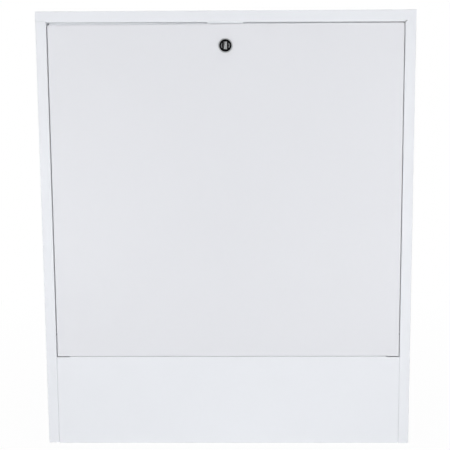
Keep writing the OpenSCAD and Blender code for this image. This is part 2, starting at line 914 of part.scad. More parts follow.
// Thermostatic insert with its spindle, spring seat and washer
module valve_inserts() color(nickel) return_place() at_circuits() {
    collar = boss_h + insert_hex;
    top = collar + collar_h + neck_h;
    difference() {
        union() {
            rod_z(boss_bore - slip, [plug_end, boss_h]);
            hex_z(insert_af, [boss_h, collar]);
            rod_z(collar_r, [collar, collar + collar_h]);
            rod_z(boss_bore, [collar, top]);
        }
        rod_z(spindle_r + run, [0, top + cut]);
    }
    rod_z(spindle_r, [bar_bore - 6, top + 5]);
    rod_z(boss_bore - 1, [bar_bore - 8, bar_bore - 5]);
}

module valve_cap(i) color(blue) return_circuit(i) difference() {
    top = cap_z + cap_h;
    union() {
        rod_z(cap_r, [cap_z, top - 3]);
        rod_z(cap_r - 2, [cap_z, top]);
    }
    rod_z(collar_r + run, [cap_z - cut, cap_z + collar_h]);
    rod_z(cap_bore, [cap_z, top - cap_wall]);
    flutes(cap_r, [cap_z + 3, top + cut], 12, 2.2);
}

// ---------- manifold: ball valves ----------

module valve_body() {
    difference() {
        union() {
            rod_x(ball_r + belly_t, [-belly_half, belly_half]);
            rod_x(ball_r + waist_t, [-valve_l + belly_t, waist_half]);
            hex_x(port_hex_af, [-valve_l, -valve_l + port_hex_l]);
            rod_x(tail_thread_r, [tail_start, tail_end]);
            rod_x(thread_r - 0.3, [tail_end - collar_t, tail_end]);
            rod_y(bonnet_r, [bonnet_end, -ball_r]);
        }
        ball(ball_r + ball_gap);
        rod_x(way_r, [-valve_l - cut, tail_end + cut]);
        rod_x(port_r, [-valve_l - cut, -valve_l + port_l]);
        rod_y(stem_r + run, [bonnet_end - cut, 0]);
    }
}

module supply_valve_body() color(nickel) supply_place() translate([valve_x, 0, 0]) valve_body();

module return_valve_body() color(nickel) return_place() translate([valve_x, 0, 0]) valve_body();

// Ball, and the stem whose tang turns it
module ball_and_stem() {
    slot_y = -ball_r + tang_d;
    slot_half = tang_w / 2 + slip;
    difference() {
        ball(ball_r);
        rod_x(way_r, [-ball_r - cut, ball_r + cut]);
        slab([-slot_half, slot_half], [-ball_r - cut, slot_y], [-stem_r, stem_r]);
    }
    difference() {
        union() {
            rod_y(stem_r, [hub_front + 3, -ball_r - 0.3]);
            slab([-tang_w / 2, tang_w / 2], [-ball_r - 0.5, slot_y - slip],
                 [-stem_r + 0.4, stem_r - 0.4]);
        }
        rod_y(handle_screw_r + slip, [hub_front, hub_front + handle_screw_l + 1]);
    }
}

module supply_ball() color(chrome) supply_place() translate([valve_x, 0, 0]) ball_and_stem();

module return_ball() color(chrome) return_place() translate([valve_x, 0, 0]) ball_and_stem();

module wing_handle() {
    wing = [hub_front, hub_front + wing_t];
    difference() {
        union() {
            rod_y(hub_r, [hub_front, hub_front + hub_l]);
            slab([-wing_l, wing_l], wing, [-wing_w / 2, wing_w / 2]);
            for (s = [-1, 1]) translate([s * wing_l, 0, 0]) rod_y(wing_tip_r, wing);
        }
        rod_y(stem_r + slip, [hub_front + 3 - slip, 0]);
        rod_y(handle_screw_r + 2 * slip, [hub_front - cut, hub_front + 5]);
        rod_y(screw_head_r + 2 * slip, [hub_front - cut, hub_front + 1]);
    }
}

module supply_handle() color(red) supply_place() translate([valve_x, 0, 0]) wing_handle();

module return_handle() color(blue) return_place() translate([valve_x, 0, 0]) wing_handle();

module handle_screw() difference() {
    top = hub_front - 1.8;
    slot_w = 1;
    union() {
        rod_y(screw_head_r, [top, hub_front + 1]);
        rod_y(handle_screw_r, [hub_front, hub_front + handle_screw_l]);
    }
    slab([-screw_head_r - cut, screw_head_r + cut], [top - cut, top + 1], [-slot_w / 2, slot_w / 2]);
}

module supply_handle_screw() color(steel) supply_place() translate([valve_x, 0, 0]) handle_screw();

module return_handle_screw() color(steel) return_place() translate([valve_x, 0, 0]) handle_screw();

// Nut that draws a valve's collar on to the bar's end; drawn from the bar's end
module union_nut() difference() {
    collar = -gasket_t - collar_t;
    shoulder_t = 3;
    hex_x(nut_af, [collar - shoulder_t, thread_l - 2]);
    rod_x(thread_r + slip, [collar - slip, thread_l]);
    rod_x(tail_thread_r + 2 * slip, [collar - shoulder_t - cut, thread_l]);
}

module union_nuts() color(nickel) {
    supply_place() translate([bar_left, 0, 0]) union_nut();
    return_place() translate([bar_left, 0, 0]) union_nut();
}

module gasket(x) difference() {
    rod_x(thread_r - 0.4, x);
    rod_x(bar_bore - 1.5, [x[0] - cut, x[1] + cut]);
}

module flat_seals() color(black) {
    for (x = [[bar_left - gasket_t, bar_left], [bar_right, bar_right + gasket_t]]) {
        supply_place() gasket(x);
        return_place() gasket(x);
    }
}

// ---------- manifold: end pieces ----------

module end_piece() translate([bar_right, 0, 0]) difference() {
    body_r = 16;
    union() {
        hex_x(nut_af, [-thread_l + 1, gasket_t + collar_t]);
        rod_x(body_r, [gasket_t, end_l]);
        translate([vent_x, 0, 0]) rod_z(vent_r, [body_r - 4, vent_top]);
        translate([drain_x, 0, 0]) rod_y(drain_r, [drain_front, -body_r + 4]);
        translate([drain_x, 0, 0]) hex_y(22, [drain_hex_end, -body_r + 4]);
    }
    rod_x(thread_r + slip, [-thread_l, gasket_t]);
    rod_x(body_r - 3.5, [0, end_l - 5]);
    translate([vent_x, 0, 0]) rod_z(vent_bore, [vent_top - 8, vent_top + cut]);
    translate([vent_x, 0, 0]) rod_z(1.5, [body_r - 6, vent_top]);
    translate([drain_x, 0, 0]) rod_y(drain_bore, [drain_front - cut, -body_r + 8]);
}

module supply_end_piece() color(nickel) supply_place() end_piece();

module return_end_piece() color(nickel) return_place() end_piece();

module vent_screw() translate([bar_right + vent_x, 0, 0]) difference() {
    knob_r = vent_r - 0.5;
    base = vent_top + 0.3;
    union() {
        rod_z(knob_r, [base, base + vent_screw_h]);
        rod_z(vent_bore - run, [vent_top - 7, base + 1]);
    }
    flutes(knob_r, [base + 1.2, base + vent_screw_h + cut], 12, 0.8);
}

module supply_vent_screw() color(black) supply_place() vent_screw();

module return_vent_screw() color(black) return_place() vent_screw();

module drain_cap() translate([bar_right + drain_x, 0, 0]) difference() {
    mouth = drain_hex_end - 0.5;
    end = drain_front - 0.5 - drain_cap_wall;
    union() {
        rod_y(drain_r + drain_cap_wall, [end, mouth]);
        rod_y(drain_r + 1, [end - 2, mouth]);
    }
    rod_y(drain_r + run, [drain_front - 0.5, mouth + cut]);
}

module supply_drain_cap() color(black) supply_place() drain_cap();

module return_drain_cap() color(black) return_place() drain_cap();

// ---------- nodes ----------

back_panel();
top_panel();
left_side();
right_side();
apron_panel();
apron_screws();
case_rivets();
lock_keeper();
hinge_pins();
door_buffers();
upper_rail();
lower_rail();
rail_studs();
pipe_guide();
door_panel();
lock_bezel();
lock_sleeve();
lock_nut();
lock_rotor();
lock_cam();
lock_screw();
manifold_brackets();
bracket_bolts();
clamp_caps();
clamp_liners();
clamp_screws();
supply_bar();
return_bar();
outlet_nipples();
flow_meter_seats();
flow_glasses();
valve_inserts();
supply_valve_body();
return_valve_body();
union_nuts();
flat_seals();
supply_end_piece();
return_end_piece();
supply_ball();
supply_handle();
supply_handle_screw();
return_ball();
return_handle();
return_handle_screw();
supply_vent_screw();
return_vent_screw();
supply_drain_cap();
return_drain_cap();
flow_ring(1);  // flow_ring_1
flow_ring(2);  // flow_ring_2
flow_ring(3);  // flow_ring_3
flow_ring(4);  // flow_ring_4
flow_float(1);  // flow_float_1
flow_float(2);  // flow_float_2
flow_float(3);  // flow_float_3
flow_float(4);  // flow_float_4
valve_cap(1);  // valve_cap_1
valve_cap(2);  // valve_cap_2
valve_cap(3);  // valve_cap_3
valve_cap(4);  // valve_cap_4
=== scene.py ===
# %% [markdown]
# # Dressing a heating manifold and its steel cabinet
#
# The part is an underfloor heating manifold in a white cabinet that is fixed in front of a wall.
# The solids of every piece come ready made, at their real size. This lesson gives them what a
# workshop gives the real ones: rounded sheet edges, threads, moulded grips, paint, plating and glass.
# The scene is in metres, the cabinet's foot is on z = 0, and its door looks towards -Y.

# %% Load the solids
import json
import math

import bmesh
import bpy
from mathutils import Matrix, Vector


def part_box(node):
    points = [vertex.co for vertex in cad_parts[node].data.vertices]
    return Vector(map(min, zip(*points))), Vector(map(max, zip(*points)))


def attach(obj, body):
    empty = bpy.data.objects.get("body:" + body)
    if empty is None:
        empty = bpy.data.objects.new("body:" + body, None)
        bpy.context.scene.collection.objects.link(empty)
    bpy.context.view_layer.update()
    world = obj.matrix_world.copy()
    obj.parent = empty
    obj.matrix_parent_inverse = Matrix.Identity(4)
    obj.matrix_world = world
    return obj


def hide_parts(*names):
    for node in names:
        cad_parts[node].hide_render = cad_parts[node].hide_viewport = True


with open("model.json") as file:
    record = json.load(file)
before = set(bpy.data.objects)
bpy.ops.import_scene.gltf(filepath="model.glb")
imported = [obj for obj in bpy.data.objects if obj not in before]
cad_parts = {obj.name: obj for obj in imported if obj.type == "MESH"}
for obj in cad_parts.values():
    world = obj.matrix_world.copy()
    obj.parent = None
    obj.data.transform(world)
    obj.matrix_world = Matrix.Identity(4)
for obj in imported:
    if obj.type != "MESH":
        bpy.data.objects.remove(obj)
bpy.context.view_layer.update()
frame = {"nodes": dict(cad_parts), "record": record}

MM = 0.001
nodes = frame["nodes"]
slot_of = {part["node"]: part["material_slot"] for part in frame["record"]["subparts"]}

# %% [markdown]
# ## Colours and nodes
#
# Paint charts give colours as sRGB hex values, but a renderer mixes light in linear values, so one
# function turns the first into the second. A second small function adds a shader node, sets its
# options and feeds its sockets, so that a material reads as a short list of what it is made of.

# %% Colours and nodes
def paint(code):
    """Turn an sRGB hex value into a linear colour."""
    channels = [int(code[i:i + 2], 16) / 255 for i in (1, 3, 5)]
    return (*[c / 12.92 if c <= 0.04045 else ((c + 0.055) / 1.055) ** 2.4 for c in channels], 1.0)


def add(tree, kind, feeds=None, **settings):
    """Add a node. Settings are its own options; feeds are values or nodes for its sockets."""
    node = tree.nodes.new(kind)
    for name, value in settings.items():
        setattr(node, name, value)
    for socket, value in (feeds or {}).items():
        if isinstance(value, bpy.types.Node):
            value = value.outputs[0]
        if isinstance(value, bpy.types.NodeSocket):
            tree.links.new(value, node.inputs[socket])
        else:
            node.inputs[socket].default_value = value
    return node


def start(name):
    """Begin a material: give back the material, its empty tree, and coordinates in metres on the part."""
    material = bpy.data.materials.new(name)
    material.use_nodes = True
    tree = material.node_tree
    tree.nodes.clear()
    return material, tree, add(tree, "ShaderNodeTexCoord").outputs["Object"]


def every(size_mm):
    """Texture scale, in repeats a metre, of a pattern with this size in millimetres."""
    return 1000 / size_mm


finishes = {}
print("a warm white is", [round(channel, 2) for channel in paint("#f4f1ea")], "in linear light")

# %% [markdown]
# ## Powder-coated steel
#
# The cabinet is folded from sheet steel, then sprayed with polyester powder that is baked until it
# melts. The powder never flows quite level, so the film has a fine pebbled skin, like an orange's,
# a few millimetres from dip to dip. It scatters the lamps softly and still keeps a low shine. The
# door gets a darker copy of the frame's white, as painted shade that makes it read a trace darker.

# %% White powder coat
def powder_coat(name, dark, light):
    material, tree, place = start(name)
    cloud = add(tree, "ShaderNodeTexNoise", {"Vector": place, "Scale": every(260), "Detail": 2})
    peel = add(tree, "ShaderNodeTexNoise", {"Vector": place, "Scale": every(2.6), "Detail": 2})
    dust = add(tree, "ShaderNodeTexNoise", {"Vector": place, "Scale": every(30), "Detail": 5})
    colour = add(tree, "ShaderNodeMixRGB", {"Fac": cloud, "Color1": paint(dark), "Color2": paint(light)})
    rough = add(tree, "ShaderNodeMapRange", {"Value": dust, "To Min": 0.36, "To Max": 0.48})
    skin = add(tree, "ShaderNodeBump", {"Height": peel, "Distance": 0.035 * MM})
    coat = add(tree, "ShaderNodeBsdfPrincipled", {"Base Color": colour, "Roughness": rough, "Normal": skin})
    add(tree, "ShaderNodeOutputMaterial", {"Surface": coat})
    return material


finishes["white_powder_coat"] = powder_coat("white powder coat", "#e9ebed", "#edeff1")
# A darker copy of the frame's white for the door: painted shade, not a paint of its own
door_white_painted_shade = powder_coat("white powder coat, darker as painted shade, on the door", "#e3e4e6", "#e7e8ea")
print("powder coat mixed")

# %% [markdown]
# ## Zinc in two forms
#
# Rails and brackets are cut from hot-dip galvanised strip. The zinc freezes in flat crystals, the
# spangle, and each crystal catches the light in its own way: Voronoi cells give every crystal a
# grey and a roughness of its own. Screws and nuts are plated in a bath instead, which leaves a thin,
# even, bluish skin with faint clouds.

# %% Galvanised strip
def galvanised():
    material, tree, place = start("galvanised strip")
    drift = add(tree, "ShaderNodeTexNoise", {"Vector": place, "Scale": every(9), "Detail": 3})
    bent = add(tree, "ShaderNodeMixRGB", {"Fac": 0.012, "Color1": place, "Color2": drift.outputs["Color"]})
    crystals = add(tree, "ShaderNodeTexVoronoi", {"Vector": bent, "Scale": every(7)})
    grey = add(tree, "ShaderNodeSeparateColor", {"Color": crystals.outputs["Color"]})
    colour = add(tree, "ShaderNodeMixRGB",
                 {"Fac": grey, "Color1": paint("#9fa4a8"), "Color2": paint("#c3c7ca")})
    rough = add(tree, "ShaderNodeMapRange", {"Value": grey, "To Min": 0.30, "To Max": 0.46})
    step = add(tree, "ShaderNodeBump", {"Height": grey, "Distance": 0.01 * MM})
    zinc = add(tree, "ShaderNodeBsdfPrincipled",
               {"Base Color": colour, "Roughness": rough, "Normal": step, "Metallic": 1.0})
    add(tree, "ShaderNodeOutputMaterial", {"Surface": zinc})
    return material


finishes["galvanised"] = galvanised()
print("spangle crystals 7 mm across")

# %% [markdown]
# ## Plating, moulding and rubber
#
# Most other surfaces are a cloudy colour over a fine grain, and differ only in their numbers. Bright
# zinc is smooth. Nickel lies on hot-forged brass, so the sandy skin of the forging die shows through.
# Knobs are injection-moulded in spark-eroded moulds, which leaves a matt grain. Rubber is dull.
# The real grains are about 0.3 mm across. They are drawn coarser here, or a picture would lose them.

# %% A cloudy colour over a grain
def grained(name, dark, light, smooth, dull, cloud_mm, grain_mm, depth_mm, metallic=0.0, shine=0.5):
    material, tree, place = start(name)
    cloud = add(tree, "ShaderNodeTexNoise", {"Vector": place, "Scale": every(cloud_mm), "Detail": 4})
    grain = add(tree, "ShaderNodeTexNoise", {"Vector": place, "Scale": every(grain_mm), "Detail": 3})
    colour = add(tree, "ShaderNodeMixRGB", {"Fac": cloud, "Color1": paint(dark), "Color2": paint(light)})
    rough = add(tree, "ShaderNodeMapRange", {"Value": cloud, "To Min": smooth, "To Max": dull})
    skin = add(tree, "ShaderNodeBump", {"Height": grain, "Distance": depth_mm * MM})
    surface = add(tree, "ShaderNodeBsdfPrincipled", {
        "Base Color": colour, "Roughness": rough, "Normal": skin, "Metallic": metallic,
        "Specular IOR Level": shine,
    })
    add(tree, "ShaderNodeOutputMaterial", {"Surface": surface})
    return material


# Barrel-plated, then passivated: smooth, with faint blue and yellow clouds
finishes["zinc_plated"] = grained("bright zinc plate", "#b4bac0", "#d3d5d2", 0.16, 0.36, 6, 1.5, 0.008, 1.0)
# Forged, shot-blasted, machined at the ends, then nickel-plated
finishes["nickel"] = grained("nickel-plated brass", "#b5aea0", "#d6d2c8", 0.16, 0.36, 18, 1.2, 0.03, 1.0)
# Moulded in spark-eroded steel moulds
finishes["black_plastic"] = grained("black moulded polyamide", "#101012", "#202023", 0.38, 0.60, 22, 0.9,
                                    0.03, shine=0.3)
finishes["red_plastic"] = grained("red moulded ABS", "#a01b14", "#c62a20", 0.28, 0.46, 22, 0.9, 0.02)
finishes["blue_plastic"] = grained("blue moulded ABS", "#173f8c", "#2759b0", 0.28, 0.48, 22, 0.9, 0.02)
# Cured in a smooth mould, then dusted with talc
finishes["rubber"] = grained("black EPDM rubber", "#131313", "#272727", 0.66, 0.88, 14, 1.6, 0.03, shine=0.3)
# Moulded in a textured steel mould and rubbed with graphite: the deepest black of all
lock_black = grained("matt black moulded acetal", "#0c0c0d", "#161617", 0.6, 0.8, 9, 0.9, 0.02, shine=0.05)
print(len(finishes) + 2, "finishes so far")

# %% [markdown]
# ## Chrome
#
# The lock is a zinc die casting under a skin of chrome. Polished, it mirrors the room apart from a
# few fine scratches, and brushed satin it only glows. Behind a given depth the chrome gives way to a
# dull near-black, which is painted shade on the rotor's face and in its slots.

# %% Chrome plate
def chrome(name, smooth=0.05, dull=0.17, painted_shade_from=None):
    """Chrome plate. Behind the depth given in mm along Y, it turns to a dull near-black painted as shade."""
    material, tree, place = start(name)
    long = add(tree, "ShaderNodeMapping", {"Vector": place, "Scale": (1.0, 1.0, 0.12)})
    # Polishing scratches are much finer than this; 0.6 mm still shows at arm's length
    scratch = add(tree, "ShaderNodeTexNoise", {"Vector": long, "Scale": every(0.6), "Detail": 4})
    colour = add(tree, "ShaderNodeMixRGB",
                 {"Fac": scratch, "Color1": paint("#a9abad"), "Color2": paint("#cfd0d1")})
    rough = add(tree, "ShaderNodeMapRange", {"Value": scratch, "To Min": smooth, "To Max": dull})
    plate = add(tree, "ShaderNodeBsdfPrincipled", {"Base Color": colour, "Roughness": rough, "Metallic": 1.0})
    if painted_shade_from is not None:
        # Behind this depth a dull near-black takes over from the chrome: painted shade on the rotor's face
        # and in its recesses
        depth = add(tree, "ShaderNodeSeparateXYZ", {"Vector": place}).outputs["Y"]
        painted_shade_mask = add(tree, "ShaderNodeMapRange",
                   {"Value": depth, "From Min": painted_shade_from * MM, "From Max": (painted_shade_from + 0.3) * MM})
        painted_shade_black = add(tree, "ShaderNodeBsdfPrincipled",
                   {"Base Color": paint("#131314"), "Roughness": 0.7, "Specular IOR Level": 0.05})
        plate = add(tree, "ShaderNodeMixShader", {0: painted_shade_mask, 1: plate, 2: painted_shade_black})
    add(tree, "ShaderNodeOutputMaterial", {"Surface": plate})
    return material


finishes["lock_chrome"] = chrome("polished chrome plate")
print("chrome plated")

# %% [markdown]
# ## Stainless steel and clear polyamide
#
# The two bars are drawn stainless tube, ground lengthwise, so their grain runs along X. The sight
# glasses are clear moulded polyamide, which bends light a little more than window glass does.

# %% Stainless tube and the sight glass
def stainless():
    material, tree, place = start("ground stainless tube")
    long = add(tree, "ShaderNodeMapping", {"Vector": place, "Scale": (0.03, 1.0, 1.0)})
    # A grinding belt leaves lines of about 0.1 mm, drawn eight times as wide
    lines = add(tree, "ShaderNodeTexNoise", {"Vector": long, "Scale": every(0.8), "Detail": 4})
    colour = add(tree, "ShaderNodeMixRGB",
                 {"Fac": lines, "Color1": paint("#a4a5a6"), "Color2": paint("#cccccb")})
    rough = add(tree, "ShaderNodeMapRange", {"Value": lines, "To Min": 0.22, "To Max": 0.40})
    groove = add(tree, "ShaderNodeBump", {"Height": lines, "Distance": 0.02 * MM})
    steel = add(tree, "ShaderNodeBsdfPrincipled",
                {"Base Color": colour, "Roughness": rough, "Normal": groove, "Metallic": 1.0})
    add(tree, "ShaderNodeOutputMaterial", {"Surface": steel})
    return material


def sight_glass():
    material, tree, place = start("clear moulded polyamide")
    haze = add(tree, "ShaderNodeTexNoise", {"Vector": place, "Scale": every(5), "Detail": 3})
    colour = add(tree, "ShaderNodeMixRGB",
                 {"Fac": haze, "Color1": paint("#e2eded"), "Color2": paint("#f8fcfc")})
    rough = add(tree, "ShaderNodeMapRange", {"Value": haze, "To Min": 0.02, "To Max": 0.10})
    clear = add(tree, "ShaderNodeBsdfPrincipled",
                {"Base Color": colour, "Roughness": rough, "IOR": 1.53, "Transmission Weight": 1.0})
    add(tree, "ShaderNodeOutputMaterial", {"Surface": clear})
    return material


finishes["stainless"] = stainless()
finishes["clear_glass"] = sight_glass()
print(len(finishes), "finishes")

# %% [markdown]
# ## Broken edges
#
# No real edge is perfectly sharp: sheet is deburred and then softened by paint, and a forged or
# moulded part comes out of its die with a radius. Modifiers do it on every solid without touching
# its points: Weld joins the doubled corners, Decimate makes flat faces whole again, Bevel rounds
# every edge that turns by more than about a third of a right angle, and Weighted Normal keeps the
# flat faces between the rounded edges flat to the eye.

# %% Round the edges and put the finishes on
# Radius of a broken edge on each kind of piece, in millimetres
EDGE = {
    "white_powder_coat": 0.35, "galvanised": 0.3, "zinc_plated": 0.25, "lock_chrome": 0.2, "nickel": 0.5,
    "stainless": 0.3, "black_plastic": 0.5, "rubber": 0.3, "clear_glass": 0.4, "red_plastic": 0.6,
    "blue_plastic": 0.6,
}


def break_edges(piece, radius_mm, segments=2, turn=32):
    """Round the edges that turn by more than this many degrees."""
    edge = piece.modifiers.new("broken edges", "BEVEL")
    edge.width = radius_mm * MM
    edge.segments = segments
    edge.angle_limit = math.radians(turn)
    edge.miter_outer = "MITER_ARC"
    shading = piece.modifiers.new("flat faces stay flat", "WEIGHTED_NORMAL")
    shading.weight = 80


def make_whole(piece):
    """Join doubled corners, and merge the triangles of each flat face."""
    weld = piece.modifiers.new("weld", "WELD")
    weld.merge_threshold = MM / 1000
    flat = piece.modifiers.new("whole faces", "DECIMATE")
    flat.decimate_type = "DISSOLVE"
    flat.angle_limit = math.radians(0.6)


def refinish(piece, material):
    """Give a piece one finish and no other."""
    piece.data.materials.clear()
    piece.data.materials.append(material)


for name, piece in nodes.items():
    refinish(piece, finishes[slot_of[name]])
    make_whole(piece)
    break_edges(piece, EDGE[slot_of[name]])
print("edges broken on", len(nodes), "solids")

# %% [markdown]
# ## Sizes to work from
#
# Every place comes from the boxes of the solids, turned to millimetres, because that is how a sheet
# metal worker reads a drawing. The sheet, its bends and the widths of the frame are named here once.

# %% Read the cabinet's planes
def box_mm(node):
    """Lowest and highest corner of a solid, in millimetres."""
    low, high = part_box(node)
    return low / MM, high / MM


def centre_mm(node):
    """Middle of a solid's box, in millimetres."""
    low, high = box_mm(node)
    return (low + high) / 2


SHEET = 1.0
# Outer radius of a fold, a little more than the sheet's thickness
BEND = 1.15
# Width of the lip that the door closes against, and depth of the flanges under the top
LIP_W = 8.0
FLANGE = 14.0
# Gap between the tilting door's rear edge and the side lips, which start above it
TILT_GAP = 0.3
door_low, door_high = box_mm("door_panel")
apron_low, apron_high = box_mm("apron_panel")
left_low, left_high = box_mm("left_side")
top_low, top_high = box_mm("top_panel")
front_y = left_low.y
back_y = left_high.y
half_w = top_high.x
case_h = top_high.z
open_half = LIP_W - left_high.x
strip_z = top_low.z + LIP_W
stop_y = box_mm("door_buffers")[1].y
pivot = centre_mm("hinge_pins")
door_depth = door_high.y - door_low.y
lip_z = pivot.z + door_depth - (pivot.y - front_y) + TILT_GAP
print("front", 2 * half_w, "by", case_h, "mm; opening", 2 * open_half, "mm wide")

# %% [markdown]
# ## Rounded corners
#
# A press brake bends flat sheet over a rounded tool, so every fold has a radius, and a lathe tool
# leaves one in every corner too. So each outline is given as corners with a rounding each, and one
# function turns them into points.

# %% Round the corners of an outline
def rounded(corners, steps=6):
    """Round the corners (a, b, radius) of a line. Each point comes with the number of the leg after it."""
    line = []
    for leg, (a, b, radius) in enumerate(corners):
        here = Vector((a, b))
        if not radius:
            line.append((here, leg))
            continue
        before = (Vector(corners[leg - 1][:2]) - here).normalized()
        after = (Vector(corners[(leg + 1) % len(corners)][:2]) - here).normalized()
        half = before.angle(after) / 2
        centre = here + (before + after).normalized() * radius / math.sin(half)
        first = here + before * radius / math.tan(half) - centre
        last = here + after * radius / math.tan(half) - centre
        turn = first.angle(last)
        for step in range(steps + 1):
            share = step / steps
            arm = first * math.sin((1 - share) * turn) + last * math.sin(share * turn)
            line.append((centre + arm / math.sin(turn), leg))
    return line


print("a fold takes", len(rounded([(0, 0, 0), (5, 0, BEND), (5, 5, 0)])) - 2, "points")

# %% [markdown]
# ## Folded sheet
#
# A folded panel could be cut from a block, but it is drawn here as a folder makes it: one thin
# surface with a bend at each corner, which the Solidify modifier then gives the sheet's thickness.
# Sides and top are a line of bends drawn out over some levels. Door and lower panel are trays, with
# a fold along each side of a flat face.

# %% Draw folded sheet
def folded(bm, corners, levels, keep, place, outside):
    """Draw a line of bends out over some levels, leaving out the fields that keep() refuses."""
    line = rounded(corners)
    grid = [[bm.verts.new(Vector(place(p.x, p.y, level)) * MM) for level in levels] for p, _ in line]
    faces = []
    for i, (_, leg) in enumerate(line[:-1]):
        for j in range(len(levels) - 1):
            if keep(leg, j):
                faces.append(bm.faces.new((grid[i][j], grid[i + 1][j], grid[i + 1][j + 1], grid[i][j + 1])))
    bm.normal_update()
    if faces[0].normal.dot(Vector(outside)) < 0:
        bmesh.ops.reverse_faces(bm, faces=faces)
    bmesh.ops.delete(bm, geom=[v for v in bm.verts if not v.link_faces], context="VERTS")


def tray(bm, outline, folds, hole=None):
    """Draw a flat face in X and Z with folds along its sides. A fold is (start, end, way out, depth)."""
    loop = [bm.verts.new(Vector((x, front_y, z)) * MM) for x, z in outline]
    edges = [bm.edges.new((a, b)) for a, b in zip(loop, loop[1:] + loop[:1])]
    if hole:
        ring = [bm.verts.new(Vector((x, front_y, z)) * MM) for x, z in hole]
        edges += [bm.edges.new((a, b)) for a, b in zip(ring, ring[1:] + ring[:1])]
    bmesh.ops.triangle_fill(bm, edges=edges, use_beauty=True)
    bm.normal_update()
    face = list(bm.faces)
    if face[0].normal.y > 0:
        bmesh.ops.reverse_faces(bm, faces=face)
    for start_index, end_index, way, depth in folds:
        a, b = loop[start_index], loop[end_index]
        rows = [(a, b)]
        out = Vector((way[0], 0, way[1]))
        for point, _ in rounded([(0, 0, 0), (BEND, 0, BEND), (BEND, depth, 0)])[2:]:
            move = (out * point.x + Vector((0, point.y, 0))) * MM
            rows.append((bm.verts.new(a.co + move), bm.verts.new(b.co + move)))
        for (p, q), (r, s) in zip(rows, rows[1:]):
            bm.faces.new((q, p, r, s))


def circle(x, z, radius, count=64):
    """Points of a circle in X and Z."""
    return [(x + radius * math.cos(math.tau * k / count), z + radius * math.sin(math.tau * k / count))
            for k in range(count)]


print("sheet", SHEET, "mm, folds with an outer radius of", BEND, "mm")

# %% [markdown]
# ## From a mesh to a piece
#
# A mesh becomes a piece of the assembly when it rides on a body, so that it moves with that body's
# joint, has its finish, and stands in for the solids that it replaces. A folded surface then gets
# its thickness, and last its cut edges are deburred.

# %% Make pieces
def piece_from(bm, name, body, finish, stands_for=()):
    """Turn a mesh into a piece that rides on a body and stands for some solids."""
    mesh = bpy.data.meshes.new(name)
    bm.to_mesh(mesh)
    bm.free()
    mesh.materials.append(finishes[finish])
    piece = bpy.data.objects.new(name, mesh)
    bpy.context.scene.collection.objects.link(piece)
    for face in mesh.polygons:
        face.use_smooth = True
    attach(piece, body)
    if stands_for:
        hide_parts(*stands_for)
    return piece


def thicken(piece):
    """Give a folded surface the sheet's thickness, inwards."""
    solid = piece.modifiers.new("sheet", "SOLIDIFY")
    solid.thickness = SHEET * MM
    solid.offset = -1
    solid.use_even_offset = True


def deburr(piece):
    """Take the sharpness off cut edges of sheet, and leave its rounded folds alone."""
    break_edges(piece, 0.15, turn=50)


print("ready to make pieces")

# %% [markdown]
# ## Door and lower panel
#
# Both are trays: a flat face whose sides are folded back. The door's top edge slants, so the gap
# above it narrows from left to right. Where the two trays meet, their folds stop short of the frame,
# and the lower panel has a shallow relief there, so the joint looks darker at both ends.

# %% Door and lower panel
# Length and height of the relief at each end of the joint between the trays
RELIEF_L = 22.0
RELIEF_H = 1.0
# Radius of the hole for the lock's barrel
LOCK_HOLE = 9.1
# How far each end of the door's top edge is set above its drawn place, left (-1) and right (1)
LIFT = {-1: 0.9, 1: -0.4}
# Gap between the lower panel and each side strip, and how far the panel is set above its drawn place
PANEL_GAP = {-1: 0.12, 1: 0.03}
PANEL_RISE = 0.2
relief = open_half - RELIEF_L


def top_of_door(side):
    """Height of the door's top edge near its left (-1) or right (1) end."""
    corner_x = door_low.x if side < 0 else door_high.x
    heights = [v.co.z / MM for v in nodes["door_panel"].data.vertices if abs(v.co.x / MM - corner_x) < 1.5]
    return max(heights) + LIFT[side]


def make_door():
    left, right = door_low.x, door_high.x
    bottom = door_low.z
    top_left, top_right = top_of_door(-1), top_of_door(1)
    outline = [
        (left + BEND, bottom), (-relief, bottom), (-relief, bottom + BEND), (relief, bottom + BEND),
        (relief, bottom), (right - BEND, bottom),
        (right - BEND, top_right - BEND), (left + BEND, top_left - BEND),
    ]
    # The bottom fold is 3 mm shallower, so that it clears the lower panel's as the door tilts
    folds = [
        (2, 3, (0, -1), door_depth - 3), (5, 6, (1, 0), door_depth),
        (6, 7, (0, 1), door_depth), (7, 0, (-1, 0), door_depth),
    ]
    bm = bmesh.new()
    tray(bm, outline, folds, circle(0, centre_mm("lock_bezel").z, LOCK_HOLE))
    door = piece_from(bm, "door_skin", "door", "white_powder_coat", ["door_panel"])
    # The door takes the darker copy of the white, which is painted shade
    refinish(door, door_white_painted_shade)
    thicken(door)
    deburr(door)


def make_lower_panel():
    left, right = -open_half + PANEL_GAP[-1], open_half - PANEL_GAP[1]
    top = apron_high.z + PANEL_RISE
    low = top - RELIEF_H
    outline = [
        (left + BEND, BEND), (right - BEND, BEND), (right - BEND, low), (relief, low),
        (relief, top - BEND), (-relief, top - BEND), (-relief, low), (left + BEND, low),
    ]
    depth = apron_high.y - apron_low.y
    folds = [(0, 1, (0, -1), depth), (1, 2, (1, 0), depth), (4, 5, (0, 1), depth), (7, 0, (-1, 0), depth)]
    bm = bmesh.new()
    tray(bm, outline, folds)
    panel = piece_from(bm, "lower_panel_skin", "case", "white_powder_coat", ["apron_panel"])
    thicken(panel)
    deburr(panel)


make_door()
make_lower_panel()
print("door and lower panel folded")

# %% [markdown]
# ## Cutters
#
# A press punches openings into flat sheet before it is folded. Here they are cut afterwards: a
# cutter is drawn as a closed bar, and a Boolean takes it away. The Boolean is applied at once, so
# the bar can be thrown away, and points that fell together are merged.

# %% Bars, blocks and Booleans
def into_depth(a, b, level):
    """Rule that places an outline in X and Z and draws it out along Y."""
    return (a, level, b)


